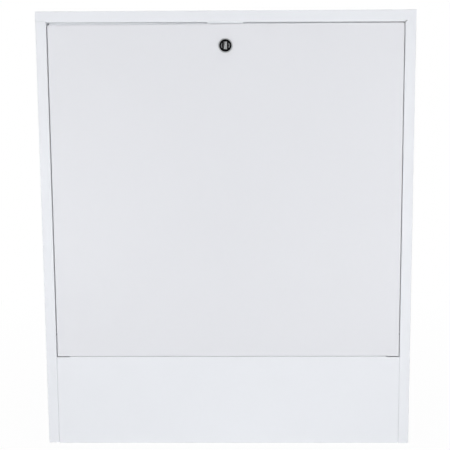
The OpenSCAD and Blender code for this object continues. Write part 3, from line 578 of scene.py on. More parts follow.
def combine(piece, shapes, operation="DIFFERENCE"):
    """Cut closed shapes out of a piece, or join them to it, then throw the shapes away."""
    for shape in shapes:
        mesh = bpy.data.meshes.new("tool")
        shape.to_mesh(mesh)
        shape.free()
        tool = bpy.data.objects.new("tool", mesh)
        bpy.context.scene.collection.objects.link(tool)
        cut = piece.modifiers.new("combine", "BOOLEAN")
        cut.object = tool
        cut.operation = operation
        cut.solver = "EXACT"
        bpy.context.view_layer.update()
        carved = bpy.data.meshes.new_from_object(piece.evaluated_get(bpy.context.evaluated_depsgraph_get()))
        piece.modifiers.clear()
        piece.data = carved
        bpy.data.objects.remove(tool)
    bm = bmesh.new()
    bm.from_mesh(piece.data)
    together = MM / 1000
    bmesh.ops.remove_doubles(bm, verts=bm.verts[:], dist=together)
    bmesh.ops.dissolve_degenerate(bm, edges=bm.edges[:], dist=together)
    bm.to_mesh(piece.data)
    bm.free()


def stacked(rings, place):
    """Closed skin over outlines with equal numbers of points. A ring is (level, points)."""
    bm = bmesh.new()
    rows = [[bm.verts.new(Vector(place(a, b, level)) * MM) for a, b in points] for level, points in rings]
    bm.faces.new(rows[0])
    bm.faces.new(rows[-1])
    for low, high in zip(rows, rows[1:]):
        for k in range(len(low)):
            n = (k + 1) % len(low)
            bm.faces.new((low[k], low[n], high[n], high[k]))
    bmesh.ops.recalc_face_normals(bm, faces=bm.faces[:])
    return bm


def prism(points, low, high, place):
    """A closed bar: an outline drawn out between two levels."""
    return stacked([(low, points), (high, points)], place)


def block(x, y, z):
    """A closed block between two values on each axis."""
    corners = [(x[0], z[0]), (x[1], z[0]), (x[1], z[1]), (x[0], z[1])]
    return prism(corners, *y, into_depth)


print("cutters ready")

# %% [markdown]
# ## Where the frame's corners meet
#
# The top and the sides are only pushed together. A hairline seam shows where the top strip meets
# the side strips, with a small nick where their folds were relieved. The folder left the top a
# trace askew, so its lower fold hangs further down towards the right.

# %% Seams, nicks and the hanging fold
# Gap between the top's folds and the side walls
WALL_GAP = 0.1
# A cut through the front sheet runs from before it to behind it
THROUGH_FRONT = (front_y - 1, front_y + 3)
# The side strips end at this height, and the seam over each is this wide
STEP_Z = strip_z + 1.3
SEAM = {-1: 0.2, 1: 0.03}
# Length and width of the nick in each top corner of the opening
NICK = {-1: (1.2, 0.7), 1: (3.0, 1.2)}
# How far the fold hangs at the cabinet's left end, and how much more at its right end
SAG_LEFT = 0.2
SAG_MORE = 1.5


def sag(x):
    """How far the top's lower fold hangs under its drawn line."""
    return SAG_LEFT + SAG_MORE * (x + half_w) / (2 * half_w)


def nick(side):
    """Narrow slit from a top corner of the opening outwards."""
    length, width = NICK[side]
    along = Vector((side, 1)).normalized()
    across = Vector((-along.y, along.x)) * width / 2
    corner = Vector((side * open_half, strip_z - sag(side * open_half)))
    inner, outer = corner - along * 2, corner + along * length
    points = [inner - across, outer - across, outer + across, inner + across]
    return prism(points, *THROUGH_FRONT, into_depth)


print("fold hangs from", round(sag(-half_w), 1), "to", round(sag(half_w), 1), "mm under its line")

# %% [markdown]
# ## Sides
#
# Each side is one sheet with three folds between its four parts: the side wall, the front strip,
# the return beside the door and the lip that the door closes against. The ways for the mains pipes
# are punched open on the left. On the right three tabs still hold them, for the fitter to knock out.

# %% Side walls
# Radius of a way for a mains pipe, and width of the slit round one that is still closed
WAY = 24.0
WAY_SLIT = 1.2
# Half the turn that a tab takes up, in radians
TAB = 0.13
# How far each front strip ends above the floor
FOOT = {-1: 1.2, 1: 0.1}


def ring_sector(y, z, first, last, steps=16):
    """Outline of the slit round a way, between two angles, in Y and Z."""
    turns = [first + (last - first) * k / steps for k in range(steps + 1)]
    arms = [(math.cos(t), math.sin(t)) for t in turns]
    outer = [(y + (WAY + WAY_SLIT) * c, z + (WAY + WAY_SLIT) * s) for c, s in arms]
    inner = [(y + WAY * c, z + WAY * s) for c, s in arms]
    return outer + inner[::-1]


def make_side(side, node):
    corners = [
        (half_w, back_y, 0), (half_w, front_y, BEND), (open_half, front_y, BEND),
        (open_half, stop_y, BEND), (open_half - LIP_W, stop_y, 0),
    ]
    levels = [0, FOOT[side], lip_z, STEP_Z, case_h - SHEET - WALL_GAP]

    def keep(leg, field):
        """The wall is full height, the strip and its return end at the seam, the lip clears the door."""
        return leg == 0 or (field in (1, 2) if leg < 3 else field == 2)

    def through_wall(a, b, level):
        return (side * level, a, b)

    bm = bmesh.new()
    folded(bm, corners, levels, keep, lambda a, b, level: (side * a, b, level), (side, 0, 0))
    piece = piece_from(bm, node + "_skin", "case", "white_powder_coat", [node])
    thicken(piece)
    wall = (half_w - 4, half_w + 4)
    cutters = []
    for bar in ("supply_bar", "return_bar"):
        centre = centre_mm(bar)
        if side < 0:
            cutters.append(prism(circle(centre.y, centre.z, WAY), *wall, through_wall))
        else:
            for third in range(3):
                first = math.tau * third / 3 + TAB
                outline = ring_sector(centre.y, centre.z, first, first + math.tau / 3 - 2 * TAB)
                cutters.append(prism(outline, *wall, through_wall))
    combine(piece, cutters + [nick(side)])
    deburr(piece)


make_side(-1, "left_side")
make_side(1, "right_side")
print("sides folded")

# %% [markdown]
# ## Top
#
# The top is folded like the sides, and its lip hangs down. Two small flanges carry it on the side
# walls, and its front strip is stepped up at both ends, where it sits on the side strips.

# %% Top
# Gap between the top's lip and the side lips
LIP_GAP = 0.3


def make_top():
    corners = [
        (back_y, case_h, 0), (front_y, case_h, BEND), (front_y, strip_z, BEND), (stop_y, strip_z, BEND),
        (stop_y, strip_z - LIP_W, 0),
    ]
    lip_half = open_half - LIP_W - LIP_GAP
    levels = [-half_w, -lip_half, lip_half, half_w]

    def keep(leg, field):
        return leg < 3 or field == 1

    def hanging(a, b, level):
        return (level, a, b - sag(level) if b < STEP_Z else b)

    bm = bmesh.new()
    folded(bm, corners, levels, keep, hanging, (0, 0, 1))
    piece = piece_from(bm, "top_skin", "case", "white_powder_coat", ["top_panel"])
    thicken(piece)
    wall = half_w - SHEET - WALL_GAP
    flange_y = (stop_y + 4, back_y - FLANGE - 2)
    flange_z = (case_h - FLANGE, case_h - SHEET / 2)
    flanges = [block(sorted((side * wall, side * (wall - SHEET))), flange_y, flange_z) for side in SEAM]
    combine(piece, flanges, "UNION")
    steps = []
    for side, seam in SEAM.items():
        end_x = sorted((side * (half_w + 1), side * open_half))
        steps.append(block(end_x, THROUGH_FRONT, (strip_z - 3, STEP_Z + seam)))
    combine(piece, steps + [nick(-1), nick(1)])
    deburr(piece)


make_top()
print("top folded")

# %% [markdown]
# ## Stop bar over the door
#
# A painted bar fills the rebate over the door, set back from the front, and stops the door as it
# shuts. Seen from the front it is the pale band in the wide end of the gap. It is cut as a plain
# bar whose lower edge follows the door's slanting top.

# %% Stop bar
# Gap over the door, distance behind the front, and thickness
STOP_CLEAR = 0.35
STOP_BACK = 8.0
STOP_THICK = 4.0
# The bar reaches this far into the fold over it, and ends this far inside the door's sides
STOP_TUCK = 0.3
STOP_SHORT = 1.0


def make_stop():
    left, right = door_low.x + STOP_SHORT, door_high.x - STOP_SHORT
    outline = [
        (left, top_of_door(-1) + STOP_CLEAR), (right, top_of_door(1) + STOP_CLEAR),
        (right, strip_z - sag(right) + STOP_TUCK), (left, strip_z - sag(left) + STOP_TUCK),
    ]
    near = front_y + STOP_BACK
    bar = prism(outline, near, near + STOP_THICK, into_depth)
    deburr(piece_from(bar, "stop_bar", "case", "white_powder_coat"))


make_stop()
print("stop bar", STOP_BACK, "mm behind the front")

# %% [markdown]
# ## Hexagons, threads and flutes
#
# Nearly everything on the manifold is made on a lathe or in a round mould, so it is a half-section
# turned about an axis. Small functions shape the radius as it goes round: flats make a hexagon, and
# where they meet a turned chamfer they leave the curved edge of a real nut. A wave that climbs one
# pitch a turn makes a thread, and a wave round the rim makes grip flutes.

# %% Axes and radius shapes
def along(axis, x, y, z):
    """Turn an axis through a point into a rule that places (across, across, level)."""
    if axis == "x":
        return lambda a, b, level: (x + level, y + b, z + a)
    if axis == "y":
        return lambda a, b, level: (x + a, y + level, z + b)
    return lambda a, b, level: (x + a, y + b, z + level)


def clamp(value):
    return max(0.0, min(1.0, value))


def flats(across, first, last):
    """Limit the radius between two levels to a hexagon this wide across its flats."""
    def shape(radius, level, angle):
        if not first <= level <= last:
            return radius
        return min(radius, across / 2 / math.cos(angle % (math.pi / 3) - math.pi / 6))
    return shape


def thread(crest, pitch, depth, first, last):
    """Cut a thread in the surface of this radius, with a run-out at both ends."""
    def shape(radius, level, angle):
        if abs(radius - crest) > 0.01:
            return radius
        ease = clamp(min(level - first, last - level) / pitch)
        return radius - depth * ease * abs((level / pitch - angle / math.tau) % 1 * 2 - 1)
    return shape


def flutes(count, depth, first, inner):
    """Hollow grip flutes in everything outside the inner radius, above a level.

    They deepen over 1.5 mm of height and 2.5 mm of radius, so they run out softly.
    """
    def shape(radius, level, angle):
        ease = clamp((level - first) / 1.5) * clamp((radius - inner) / 2.5)
        return radius - depth * ease * max(0.0, math.cos(count * angle))
    return shape


# A hexagon's flats lie at this share of the radius of its corners
FLAT = math.cos(math.pi / 6)


def hexagon(flat, corner, near, far, slope, rounding=0):
    """Half-section of a hexagon whose turned chamfers rise from its flats to its corners."""
    up = math.copysign(slope, far - near)
    return [(flat, near, rounding), (corner, near + up, 0), (corner, far - up, 0), (flat, far, rounding)]


print("a hexagon 26 mm across its flats is", round(26 / FLAT, 2), "mm across its corners")

# %% [markdown]
# ## Turning
#
# A half-section is a list of corners (radius, level, rounding). Turning it leaves one ring of points
# at each of its points. A finer step along the line is only needed where a thread or a flute runs.

# %% Turn half-sections
def turned(bm, place, corners, shapes=(), count=48, finest=50.0):
    """Turn a half-section in steps of at most the finest length. It closes on itself or on the axis."""
    line = [point for point, _ in rounded(corners)]
    open_line = corners[0][0] == 0
    loop = []
    for here, after in zip(line, line[1:] + line[:1]):
        steps = max(1, math.ceil((after - here).length / finest))
        loop += [here.lerp(after, k / steps) for k in range(steps)]
    if open_line:
        loop = loop[:loop.index(line[-1]) + 1]
    rows = []
    for point in loop:
        if point.x < 1e-6:
            rows.append([bm.verts.new(Vector(place(0, 0, point.y)) * MM)] * count)
            continue
        row = []
        for k in range(count):
            angle = math.tau * k / count
            radius = point.x
            for shape in shapes:
                radius = shape(radius, point.y, angle)
            spot = place(radius * math.cos(angle), radius * math.sin(angle), point.y)
            row.append(bm.verts.new(Vector(spot) * MM))
        rows.append(row)
    made = []
    pairs = list(zip(rows, rows[1:] + rows[:1]))
    for low, high in pairs[:-1] if open_line else pairs:
        for k in range(count):
            n = (k + 1) % count
            ring = list(dict.fromkeys((low[k], low[n], high[n], high[k])))
            made.append(bm.faces.new(ring))
    bmesh.ops.recalc_face_normals(bm, faces=made)
    return bm


def crisp(piece, turn=35):
    """Shade a turned piece smooth, apart from edges that turn by more than this many degrees."""
    for face in piece.data.polygons:
        face.use_smooth = True
    piece.data.set_sharp_from_angle(angle=math.radians(turn))


def turned_piece(name, node, body, parts, count=48, finest=50.0):
    """Make a piece of turned parts that stand apart. Each part is (place, corners, shapes)."""
    bm = bmesh.new()
    for place, corners, shapes in parts:
        turned(bm, place, corners, shapes, count, finest)
    piece = piece_from(bm, name, body, slot_of[node], [node])
    crisp(piece)
    return piece


def rod(place, radius, first, last, count=48):
    """A closed round bar between two levels."""
    corners = [(0, first, 0), (radius, first, 0), (radius, last, 0), (0, last, 0)]
    return turned(bmesh.new(), place, corners, (), count)


print("turning tools ready")

# %% [markdown]
# ## Lock rim, bush and nut
#
# The bezel is one turned piece: a satin rim on the door, and a barrel behind it whose thread takes a
# hexagon nut. A black bush fills the rim. All three stand on the lock's axis, so they are turned.

# %% Rim, bush and nut
lock_low, lock_high = box_mm("lock_bezel")
rotor_low, rotor_high = box_mm("lock_rotor")
lock_z = centre_mm("lock_bezel").z
lock_axis = along("y", 0, 0, lock_z)
# Clearance round a piece that turns in another or is screwed on it
FIT = 0.05
# Radii: the bore for the rotor, the rim's inner edge, the threaded barrel, the bore at its end
CORE = rotor_high.x + FIT
RIM = lock_high.x - 1.65
BARREL = 9.0
TAIL = 5.05


def make_lock_rim():
    sleeve_low, sleeve_high = box_mm("lock_sleeve")
    floor, seat = sleeve_high.y, front_y - 0.02
    corners = [
        (CORE, floor, 0), (RIM, floor, 0), (RIM, lock_low.y, 0.15), (lock_high.x, lock_low.y, 0.35),
        (lock_high.x, seat, 0), (BARREL, seat, 0), (BARREL, lock_high.y, 0.6), (TAIL, lock_high.y, 0.2),
        (TAIL, lock_high.y - 2, 0), (CORE, lock_high.y - 2, 0),
    ]
    parts = [(lock_axis, corners, [thread(BARREL, 1.5, 0.6, front_y + 1, lock_high.y)])]
    bezel = turned_piece("lock_rim_and_barrel", "lock_bezel", "door", parts, 60, 0.3)
    refinish(bezel, chrome("satin chrome plate", 0.28, 0.40))
    edge = RIM - 0.03
    corners = [(CORE, floor, 0), (CORE, sleeve_low.y, 0.3), (edge, sleeve_low.y, 0.3), (edge, floor, 0)]
    bush = turned_piece("lock_bush", "lock_sleeve", "door", [(lock_axis, corners, ())], 60)
    refinish(bush, lock_black)


def make_lock_nut():
    low, high = box_mm("lock_nut")
    across = (high.x - low.x) * FLAT
    corners = [
        (BARREL + FIT, low.y, 0.2), *hexagon(across / 2 - 0.5, high.x - 0.2, low.y, high.y, 1.1, 0.2),
        (BARREL + FIT, high.y, 0.2),
    ]
    parts = [(lock_axis, corners, [flats(across, low.y, high.y)])]
    turned_piece("lock_hexagon_nut", "lock_nut", "door", parts, 60, 0.5)


make_lock_rim()
make_lock_nut()
print("lock rim", round(2 * lock_high.x, 1), "mm across")

# %% [markdown]
# ## Lock rotor
#
# The rotor is painted near-black all over, as shade on its face and in its recesses; only its finger
# bar and two short ribs are polished chrome. The bar has a roof shape with a fine groove along its
# ridge. Two pockets beside it take the tips of a key, and behind, a square end carries the cam. It is
# one casting, so its parts are joined with Booleans.

# %% Rotor
# Finger bar: half width, height at its sides and at its ridge, half length
BAR_W, BAR_SIDE, BAR_RIDGE, BAR_L = 2.45, 0.8, 1.15, 5.9
# Arc ribs: radii, and half the angle that each takes up, in radians
RIB_INNER, RIB_OUTER = 5.2, 6.9
RIB_TURN = 0.56
# The chrome ends this far in front of the rotor's face; behind this the rotor is painted near-black as shade
PAINTED_SHADE_LINE = 0.35
# Pockets and groove: extent across, half length, and for the groove where its bottom lies
POCKET_INNER, POCKET_OUTER, POCKET_L = 2.6, 4.7, 5.4
GROOVE_W, GROOVE_L, GROOVE_FLOOR = 0.15, 4.6, 0.9
# Half the width of the square end
SQUARE = 3.5


def rectangle(half_a, half_b):
    return [(-half_a, -half_b), (half_a, -half_b), (half_a, half_b), (-half_a, half_b)]


def rib(side, inset):
    """Outline of a short arc rib left (-1) or right (1) of the axis."""
    turns = [RIB_TURN * (k / 5 - 1) for k in range(11)]
    outer, inner = RIB_OUTER - inset, RIB_INNER + inset
    far = [(side * outer * math.cos(t), outer * math.sin(t)) for t in turns]
    near = [(side * inner * math.cos(t), inner * math.sin(t)) for t in turns[::-1]]
    return far + near


def make_rotor():
    face, back = rotor_low.y + 1.2, lock_high.y
    corners = [
        (0, face, 0), (CORE - FIT, face, 0.4), (CORE - FIT, back - 2.1, 0), (TAIL - FIT, back - 2.1, 0),
        (TAIL - FIT, back + FIT, 0), (0, back + FIT, 0),
    ]
    core = turned(bmesh.new(), lock_axis, corners, (), 60)
    piece = piece_from(core, "lock_core", "lock", "lock_chrome", ["lock_rotor"])
    roof = [(-BAR_W, 1.0), (-BAR_W, -BAR_SIDE), (0, -BAR_RIDGE), (BAR_W, -BAR_SIDE), (BAR_W, 1.0)]
    square = rectangle(SQUARE, SQUARE)
    joined = [
        prism(roof, -BAR_L, BAR_L, lambda a, b, level: (a, face + b, lock_z + level)),
        prism(square, back, rotor_high.y, lock_axis),
    ]
    for side in (-1, 1):
        rings = [(face + 1, rib(side, 0)), (face - PAINTED_SHADE_LINE, rib(side, 0)), (face - BAR_SIDE, rib(side, 0.4))]
        joined.append(stacked(rings, lock_axis))
    combine(piece, joined, "UNION")
    pocket_z = (lock_z - POCKET_L, lock_z + POCKET_L)
    groove_z = (lock_z - GROOVE_L, lock_z + GROOVE_L)
    cuts = [
        block((-POCKET_OUTER, -POCKET_INNER), (face - 3, face + 2), pocket_z),
        block((POCKET_INNER, POCKET_OUTER), (face - 3, face + 2), pocket_z),
        block((-GROOVE_W, GROOVE_W), (face - 3, face - GROOVE_FLOOR), groove_z),
        rod(lock_axis, 2.1, back - 8, rotor_high.y + 1),
    ]
    combine(piece, cuts)
    # Only the bar and the ribs stand in front of the painted shade; the face, pockets and groove behind them
    # are near-black
    refinish(piece, chrome("polished chrome with painted shade in its recesses", painted_shade_from=face - PAINTED_SHADE_LINE))
    crisp(piece)


make_rotor()
print("lock rotor carved")

# %% [markdown]
# ## Nipples
#
# Four circuits leave each bar. Below the bar, each has a nipple: a plug, a hexagon to hold it by, a
# G 3/4 thread, 1.814 mm from crest to crest, and a cone inside its mouth where the pipe seals.

# %% Where the circuits are, and their nipples
circuits = [centre_mm(f"flow_ring_{i}").x for i in range(1, 5)]
bars = {side: (centre_mm(side + "_bar").y, centre_mm(side + "_bar").z) for side in ("supply", "return")}
bar_low, bar_high = box_mm("supply_bar")
boss = (bar_high.z - bar_low.z) / 2
# Hexagon of nipples and flow meters: width across its flats, and height
HEX_AF = 26.0
HEX_H = 6.0
# Radii: the water's way, the plug in the bar, and the crest of the outlet's thread
BORE = 6.0
PLUG = 7.9
OUTLET = 13.2
OUTLET_PITCH = 1.814


def bar_hexagon(near, far):
    """Half-section of the hexagon on a nipple or a flow meter."""
    return hexagon(HEX_AF / 2 - 0.6, HEX_AF / 2 / FLAT - 0.2, near, far, 1.2)


def make_nipples():
    low, high = box_mm("outlet_nipples")
    tip, plug = low.z - bars["return"][1], high.z - bars["supply"][1]
    end = -boss - HEX_H
    corners = [
        (BORE, plug, 0), (PLUG, plug, 0.2), (PLUG, -boss, 0), *bar_hexagon(-boss, end),
        (OUTLET, end - 0.01, 0), (OUTLET, tip + 1.2, 0), (12.2, tip, 0.2), (9.0, tip, 0.2),
        (BORE, tip + 8, 0),
    ]
    shapes = [flats(HEX_AF, end, -boss), thread(OUTLET, OUTLET_PITCH, 1.1, tip, end - 0.5)]
    parts = [(along("z", x, y, z), corners, shapes) for y, z in bars.values() for x in circuits]
    turned_piece("threaded_nipples", "outlet_nipples", "case", parts, 48, 0.3)


make_nipples()
print("circuits at", [round(x) for x in circuits])

# %% [markdown]
# ## Flow meters
#
# Above the supply bar, each circuit has a flow meter. A clear glass with seven marks stands in a
# hexagon, a fluted ring turns to set the flow, and a red disc on a thin stem floats in the glass.

# %% Hexagons, glasses, rings and floats
# Radius of the glasses, and distance between two marks
GLASS = 7.5
MARK_PITCH = 3.0


def make_seats():
    y, z = bars["supply"]
    low, high = box_mm("flow_meter_seats")
    plug, top = low.z - z, high.z - z
    end = boss + HEX_H
    corners = [
        (BORE, plug, 0), (PLUG, plug, 0.2), (PLUG, boss, 0), *bar_hexagon(boss, end), (9.0, end, 0.3),
        (9.0, top, 0.5), (BORE, top, 0.2),
    ]
    parts = [(along("z", x, y, z), corners, [flats(HEX_AF, boss, end)]) for x in circuits]
    turned_piece("flow_meter_hexagons", "flow_meter_seats", "case", parts, 60, 0.5)


def make_glasses():
    y, z = bars["supply"]
    low, high = box_mm("flow_glasses")
    foot, top = low.z - z, high.z - z
    corners = [
        (0, top - 2.5, 0), (6.0, top - 2.5, 1.5), (6.0, foot, 0), (8.8, foot, 0.3), (8.8, foot + 2, 0.4),
        (GLASS, foot + 2, 0.4),
    ]
    for mark in range(7):
        level = foot + 6 + mark * MARK_PITCH
        groove = ((0, 0), (0.25, 0.25), (0.25, 0.45), (0, 0.7))
        corners += [(GLASS - depth, level + rise, 0) for depth, rise in groove]
    corners += [(GLASS, top, 3.0), (0, top, 0)]
    parts = [(along("z", x, y, z), corners, ()) for x in circuits]
    turned_piece("sight_glasses", "flow_glasses", "case", parts)


def make_ring(i, place):
    low, high = box_mm(f"flow_ring_{i}")
    corners = [(9.05, low.z, 0.3), (14.0, low.z, 0.6), (14.0, high.z, 2.2), (9.05, high.z, 0.3)]
    parts = [(place, corners, [flutes(16, 0.7, low.z + 2, 10.5)])]
    turned_piece(f"fluted_ring_{i}", f"flow_ring_{i}", f"ring_{i}", parts, 96, 1.0)


def make_float(i, place):
    low, high = box_mm(f"flow_float_{i}")
    disc, stem = (high.x - low.x) / 2, 1.2
    corners = [
        (0, high.z, 0), (disc, high.z, 0.5), (disc, high.z - 3, 0.5), (stem, high.z - 3, 0.3),
        (stem, low.z, 0.4), (0, low.z, 0),
    ]
    turned_piece(f"float_disc_{i}", f"flow_float_{i}", f"float_{i}", [(place, corners, ())], 32)


make_seats()
make_glasses()
for i, x in enumerate(circuits, 1):
    make_ring(i, along("z", x, bars["supply"][0], 0))
    make_float(i, along("z", x, bars["supply"][0], 0))
print(len(circuits), "flow meters")

# %% [markdown]
# ## Hand caps
#
# Above the return bar, each circuit's valve has a hand cap: a moulded cup with a thick wall, twelve
# grip flutes and a shallow dish on top. It screws down on the valve, so it turns by itself.

# %% Hand caps
def make_cap(i, place):
    low, high = box_mm(f"valve_cap_{i}")
    corners = [
        (0, high.z - 3.5, 0), (11.0, high.z - 3.5, 2), (11.0, low.z + 8, 0), (15.05, low.z + 8, 0),
        (15.05, low.z, 0.3), (17.0, low.z, 0.7), (17.0, high.z, 3.5), (6.0, high.z, 0.5),
        (5.0, high.z - 0.8, 0.5), (0, high.z - 0.8, 0),
    ]
    parts = [(place, corners, [flutes(12, 1.2, low.z + 2.5, 15.1)])]
    turned_piece(f"hand_cap_{i}", f"valve_cap_{i}", f"cap_{i}", parts, 96, 1.5)


for i, x in enumerate(circuits, 1):
    make_cap(i, along("z", x, bars["return"][0], 0))
print(len(circuits), "hand caps")

# %% [markdown]
# ## Ball valve bodies
#
# A forged body is one lump with a way for the water and a round chamber for the ball, so it is one
# turned half-section. The gland stands across it and is joined with a Boolean. The stem's bore is
# drilled last, as in a machine shop.

# %% Valve bodies
def make_valve(side):
    y, z = bars[side]
    low, high = box_mm(side + "_valve_body")
    middle = centre_mm(side + "_ball").x
    port, tail, belly = low.x - middle, high.x - middle, high.y - y
    bonnet = low.y - y
    chamber, way = 17.15, 12.5
    seat = math.sqrt(chamber ** 2 - way ** 2)
    corners = [
        (15.15, port, 0.4), (18.2, port, 0.3), (21.6, port + 2, 0), (21.6, port + 12, 0),
        (19.0, port + 14, 0.8), (19.0, -13, 2), (belly, -9, 3), (belly, 8, 3), (18.4, 12, 2),
        (14.2, 16, 1.5), (14.2, tail - 3, 0.4), (16.3, tail - 3, 0.4), (16.3, tail, 0.4), (way, tail, 0.3),
        (way, seat, 0),
    ]
    edge = math.atan2(way, seat)
    for step in range(1, 12):
        turn = edge + (math.pi - 2 * edge) * step / 12
        corners.append((chamber * math.sin(turn), chamber * math.cos(turn), 0))
    corners += [(way, -seat, 0), (way, port + 16, 0), (15.15, port + 16, 0)]
    body = turned(bmesh.new(), along("x", middle, y, z), corners, [flats(38.0, port, port + 13.9)], 60, 1.5)
    piece = piece_from(body, side + "_forged_valve", "case", "nickel", [side + "_valve_body"])
    stem_axis = along("y", middle, y, z)
    gland = [
        (0, bonnet, 0), (8.2, bonnet, 0.2), (9.0, bonnet + 0.8, 0), (9.0, bonnet + 5, 0.3),
        (8.6, bonnet + 5.6, 0.3), (9.6, -19, 1.5), (12.5, -18.2, 0), (0, -18.2, 0),
    ]
    shapes = [flats(16.6, bonnet, bonnet + 5)]
    combine(piece, [turned(bmesh.new(), stem_axis, gland, shapes, 48, 0.6)], "UNION")
    combine(piece, [rod(stem_axis, 5.1, bonnet - 1, -14)])
    crisp(piece)


for side in bars:
    make_valve(side)
print("ball valve bodies forged")

# %% [markdown]
# ## Wing handles
#
# Each handle is moulded: a narrow waist, two rounded wings and a hub that grips the stem. Its outline
# is one formula that swells towards the tips, stacked in rings that draw in to round the edges.

# %% Handles
# Half widths at the waist and at the tips, then thickness and rounding
WAIST = 3.9
WING = 6.5
WING_THICK = 9.0
WING_ROUNDING = 2.2


def wing_outline(reach, inset):
    """Outline of both wings, drawn in by the inset."""
    stem = reach - WING
    upper = []
    for k in range(41):
        x = -stem + 2 * stem * k / 40
        swell = clamp((abs(x) - 11) / (stem - 11))
        width = WAIST + (WING - WAIST) * swell * swell * (3 - 2 * swell) - inset
        upper.append((x * (reach - inset) / reach, width))
    turns = [math.pi / 2 - math.pi * k / 12 for k in range(1, 12)]
    end, radius = stem * (reach - inset) / reach, WING - inset
    tip = [(end + radius * math.cos(t), radius * math.sin(t)) for t in turns]
    return upper + tip + [(-a, -b) for a, b in upper + tip]


def make_handle(side):
    y, z = bars[side]
    low, high = box_mm(side + "_handle")
    middle = (low.x + high.x) / 2
    reach, front = (high.x - low.x) / 2, low.y - y
    edge = []
    for k in range(6):
        turn = math.pi / 2 * k / 5
        edge.append((WING_ROUNDING * (1 - math.sin(turn)), WING_ROUNDING * (1 - math.cos(turn))))
    rings = [(front + rise, wing_outline(reach, inset)) for rise, inset in edge[::-1]]
    rings += [(front + WING_THICK - rise, wing_outline(reach, inset)) for rise, inset in edge]
    place = along("y", middle, y, z)
    node = side + "_handle"
    piece = piece_from(stacked(rings, place), side + "_wing_handle", side + "_valve", slot_of[node], [node])
    hub = [(0, front + 0.4, 0), (9.5, front + 0.4, 1.6), (9.5, high.y - y, 0.6), (0, high.y - y, 0)]
    combine(piece, [turned(bmesh.new(), place, hub)], "UNION")
    bores = [(5.2, front + 3, 0), (2.3, front - 1, front + 5), (4.8, front - 1, front + 1.2)]
    combine(piece, [rod(place, *bore) for bore in bores])
    crisp(piece)


for side in bars:
    make_handle(side)
print("wing handles moulded")

# %% [markdown]
# ## Union nuts
#
# A union nut is turned from hexagon bar and draws the valve against a flat seal on the bar. It stays
# a piece of its own, because a fitter turns it without turning the valve.

# %% Union nuts
# Radii on the union: its threaded bore, and the corners that the turned chamfers leave
UNION = 16.7
NUT_CORNER = 23.4


def make_union_nuts():
    low, high = box_mm("union_nuts")
    across = (high.z - bars["supply"][1]) * 2 * FLAT
    corners = [
        (14.45, low.x, 0.4), *hexagon(across / 2 - 0.8, NUT_CORNER, low.x, high.x, 2),
        (UNION, high.x, 0.4), (UNION, low.x + 3, 0), (14.45, low.x + 3, 0),
    ]
    parts = [(along("x", 0, y, z), corners, [flats(across, low.x, high.x)]) for y, z in bars.values()]
    turned_piece("chamfered_union_nuts", "union_nuts", "case", parts, 60, 0.7)


make_union_nuts()
print("union nuts turned")

# %% [markdown]
# ## End pieces
#
# Each bar ends in a forged piece that screws on like a union nut. A neck on top takes the vent's
# knob, and a threaded spout in front takes the drain's fluted cap. Neck and spout are joined to the
# body before their bores are drilled.

# %% End pieces
# Radii: the body, the vent's neck, and the crest of the spout's thread
END_BODY = 16.0
NECK = 7.5
SPOUT = 9.5


def make_end(side, up, out):
    y, z = bars[side]
    low, high = box_mm(side + "_end_piece")
    across = (z - low.z) * 2 * FLAT
    start_x = bar_high.x
    corners = [
        (0, high.x, 0), (END_BODY, high.x, 5), (END_BODY, start_x + 8, 2),
        (END_BODY + 1.5, start_x + 5.4, 0.4), *hexagon(across / 2 - 0.8, NUT_CORNER, start_x + 5, low.x, 2),
        (UNION, low.x, 0.4), (UNION, start_x + 2, 0), (12.5, start_x + 2, 0), (12.5, high.x - 5, 3),
        (0, high.x - 5, 0),
    ]
    body = turned(bmesh.new(), along("x", 0, y, z), corners, [flats(across, low.x, start_x + 5.2)], 60, 1.0)
    piece = piece_from(body, side + "_forged_end", "case", "nickel", [side + "_end_piece"])
    top, front = high.z - z, low.y - y
    neck = [(0, 13.4, 0), (9.5, 13.4, 0), (NECK, 18, 2), (NECK, top, 0.8), (0, top, 0)]
    spout = [
        (0, front, 0), (8.9, front, 0.2), (SPOUT, front + 0.8, 0), (SPOUT, -21, 0), (11, -21, 0),
        (12.5, -20, 0), (12.5, -16, 0.5), (11.5, -13, 0), (0, -13, 0),
    ]
    shapes = [flats(22.0, -21.1, -15.5), thread(SPOUT, 1.5, 0.7, front, -21)]
    branches = [turned(bmesh.new(), up, neck), turned(bmesh.new(), out, spout, shapes, 48, 0.35)]
    combine(piece, branches, "UNION")
    combine(piece, [rod(up, 3.5, top - 9, top + 1, 40), rod(out, 6.05, front - 1, -6, 40)])
    crisp(piece)
    return top


def make_vent_knob(side, up, top):
    crown = box_mm(side + "_vent_screw")[1].z - bars[side][1]
    corners = [
        (0, top - 7, 0), (3.4, top - 7, 0.5), (3.4, top + 0.3, 0), (7.0, top + 0.3, 0.4),
        (7.0, crown, 1.2), (0, crown, 0),
    ]
    parts = [(up, corners, [flutes(12, 0.7, top + 1.2, 3.6)])]
    turned_piece(side + "_vent_knob", side + "_vent_screw", side + "_vent", parts, 72, 0.8)


def make_drain_cap(side, out):
    low, high = box_mm(side + "_drain_cap")
    front, mouth = low.y - bars[side][0], high.y - bars[side][0]
    corners = [
        (0, front, 0), (12.5, front, 1.8), (12.5, mouth, 0.5), (SPOUT + FIT, mouth, 0.2),
        (SPOUT + FIT, front + 3, 0.8), (0, front + 3, 0),
    ]
    parts = [(out, corners, [flutes(18, 0.7, front - 9, 10.2)])]
    turned_piece(side + "_fluted_cap", side + "_drain_cap", side + "_drain", parts, 108, 1.5)


for side, (y, z) in bars.items():
    up = along("z", centre_mm(side + "_vent_screw").x, y, z)
    out = along("y", centre_mm(side + "_drain_cap").x, y, z)
    vent_seat = make_end(side, up, out)
    make_vent_knob(side, up, vent_seat)
    make_drain_cap(side, out)
print("end pieces, vents and drains made")

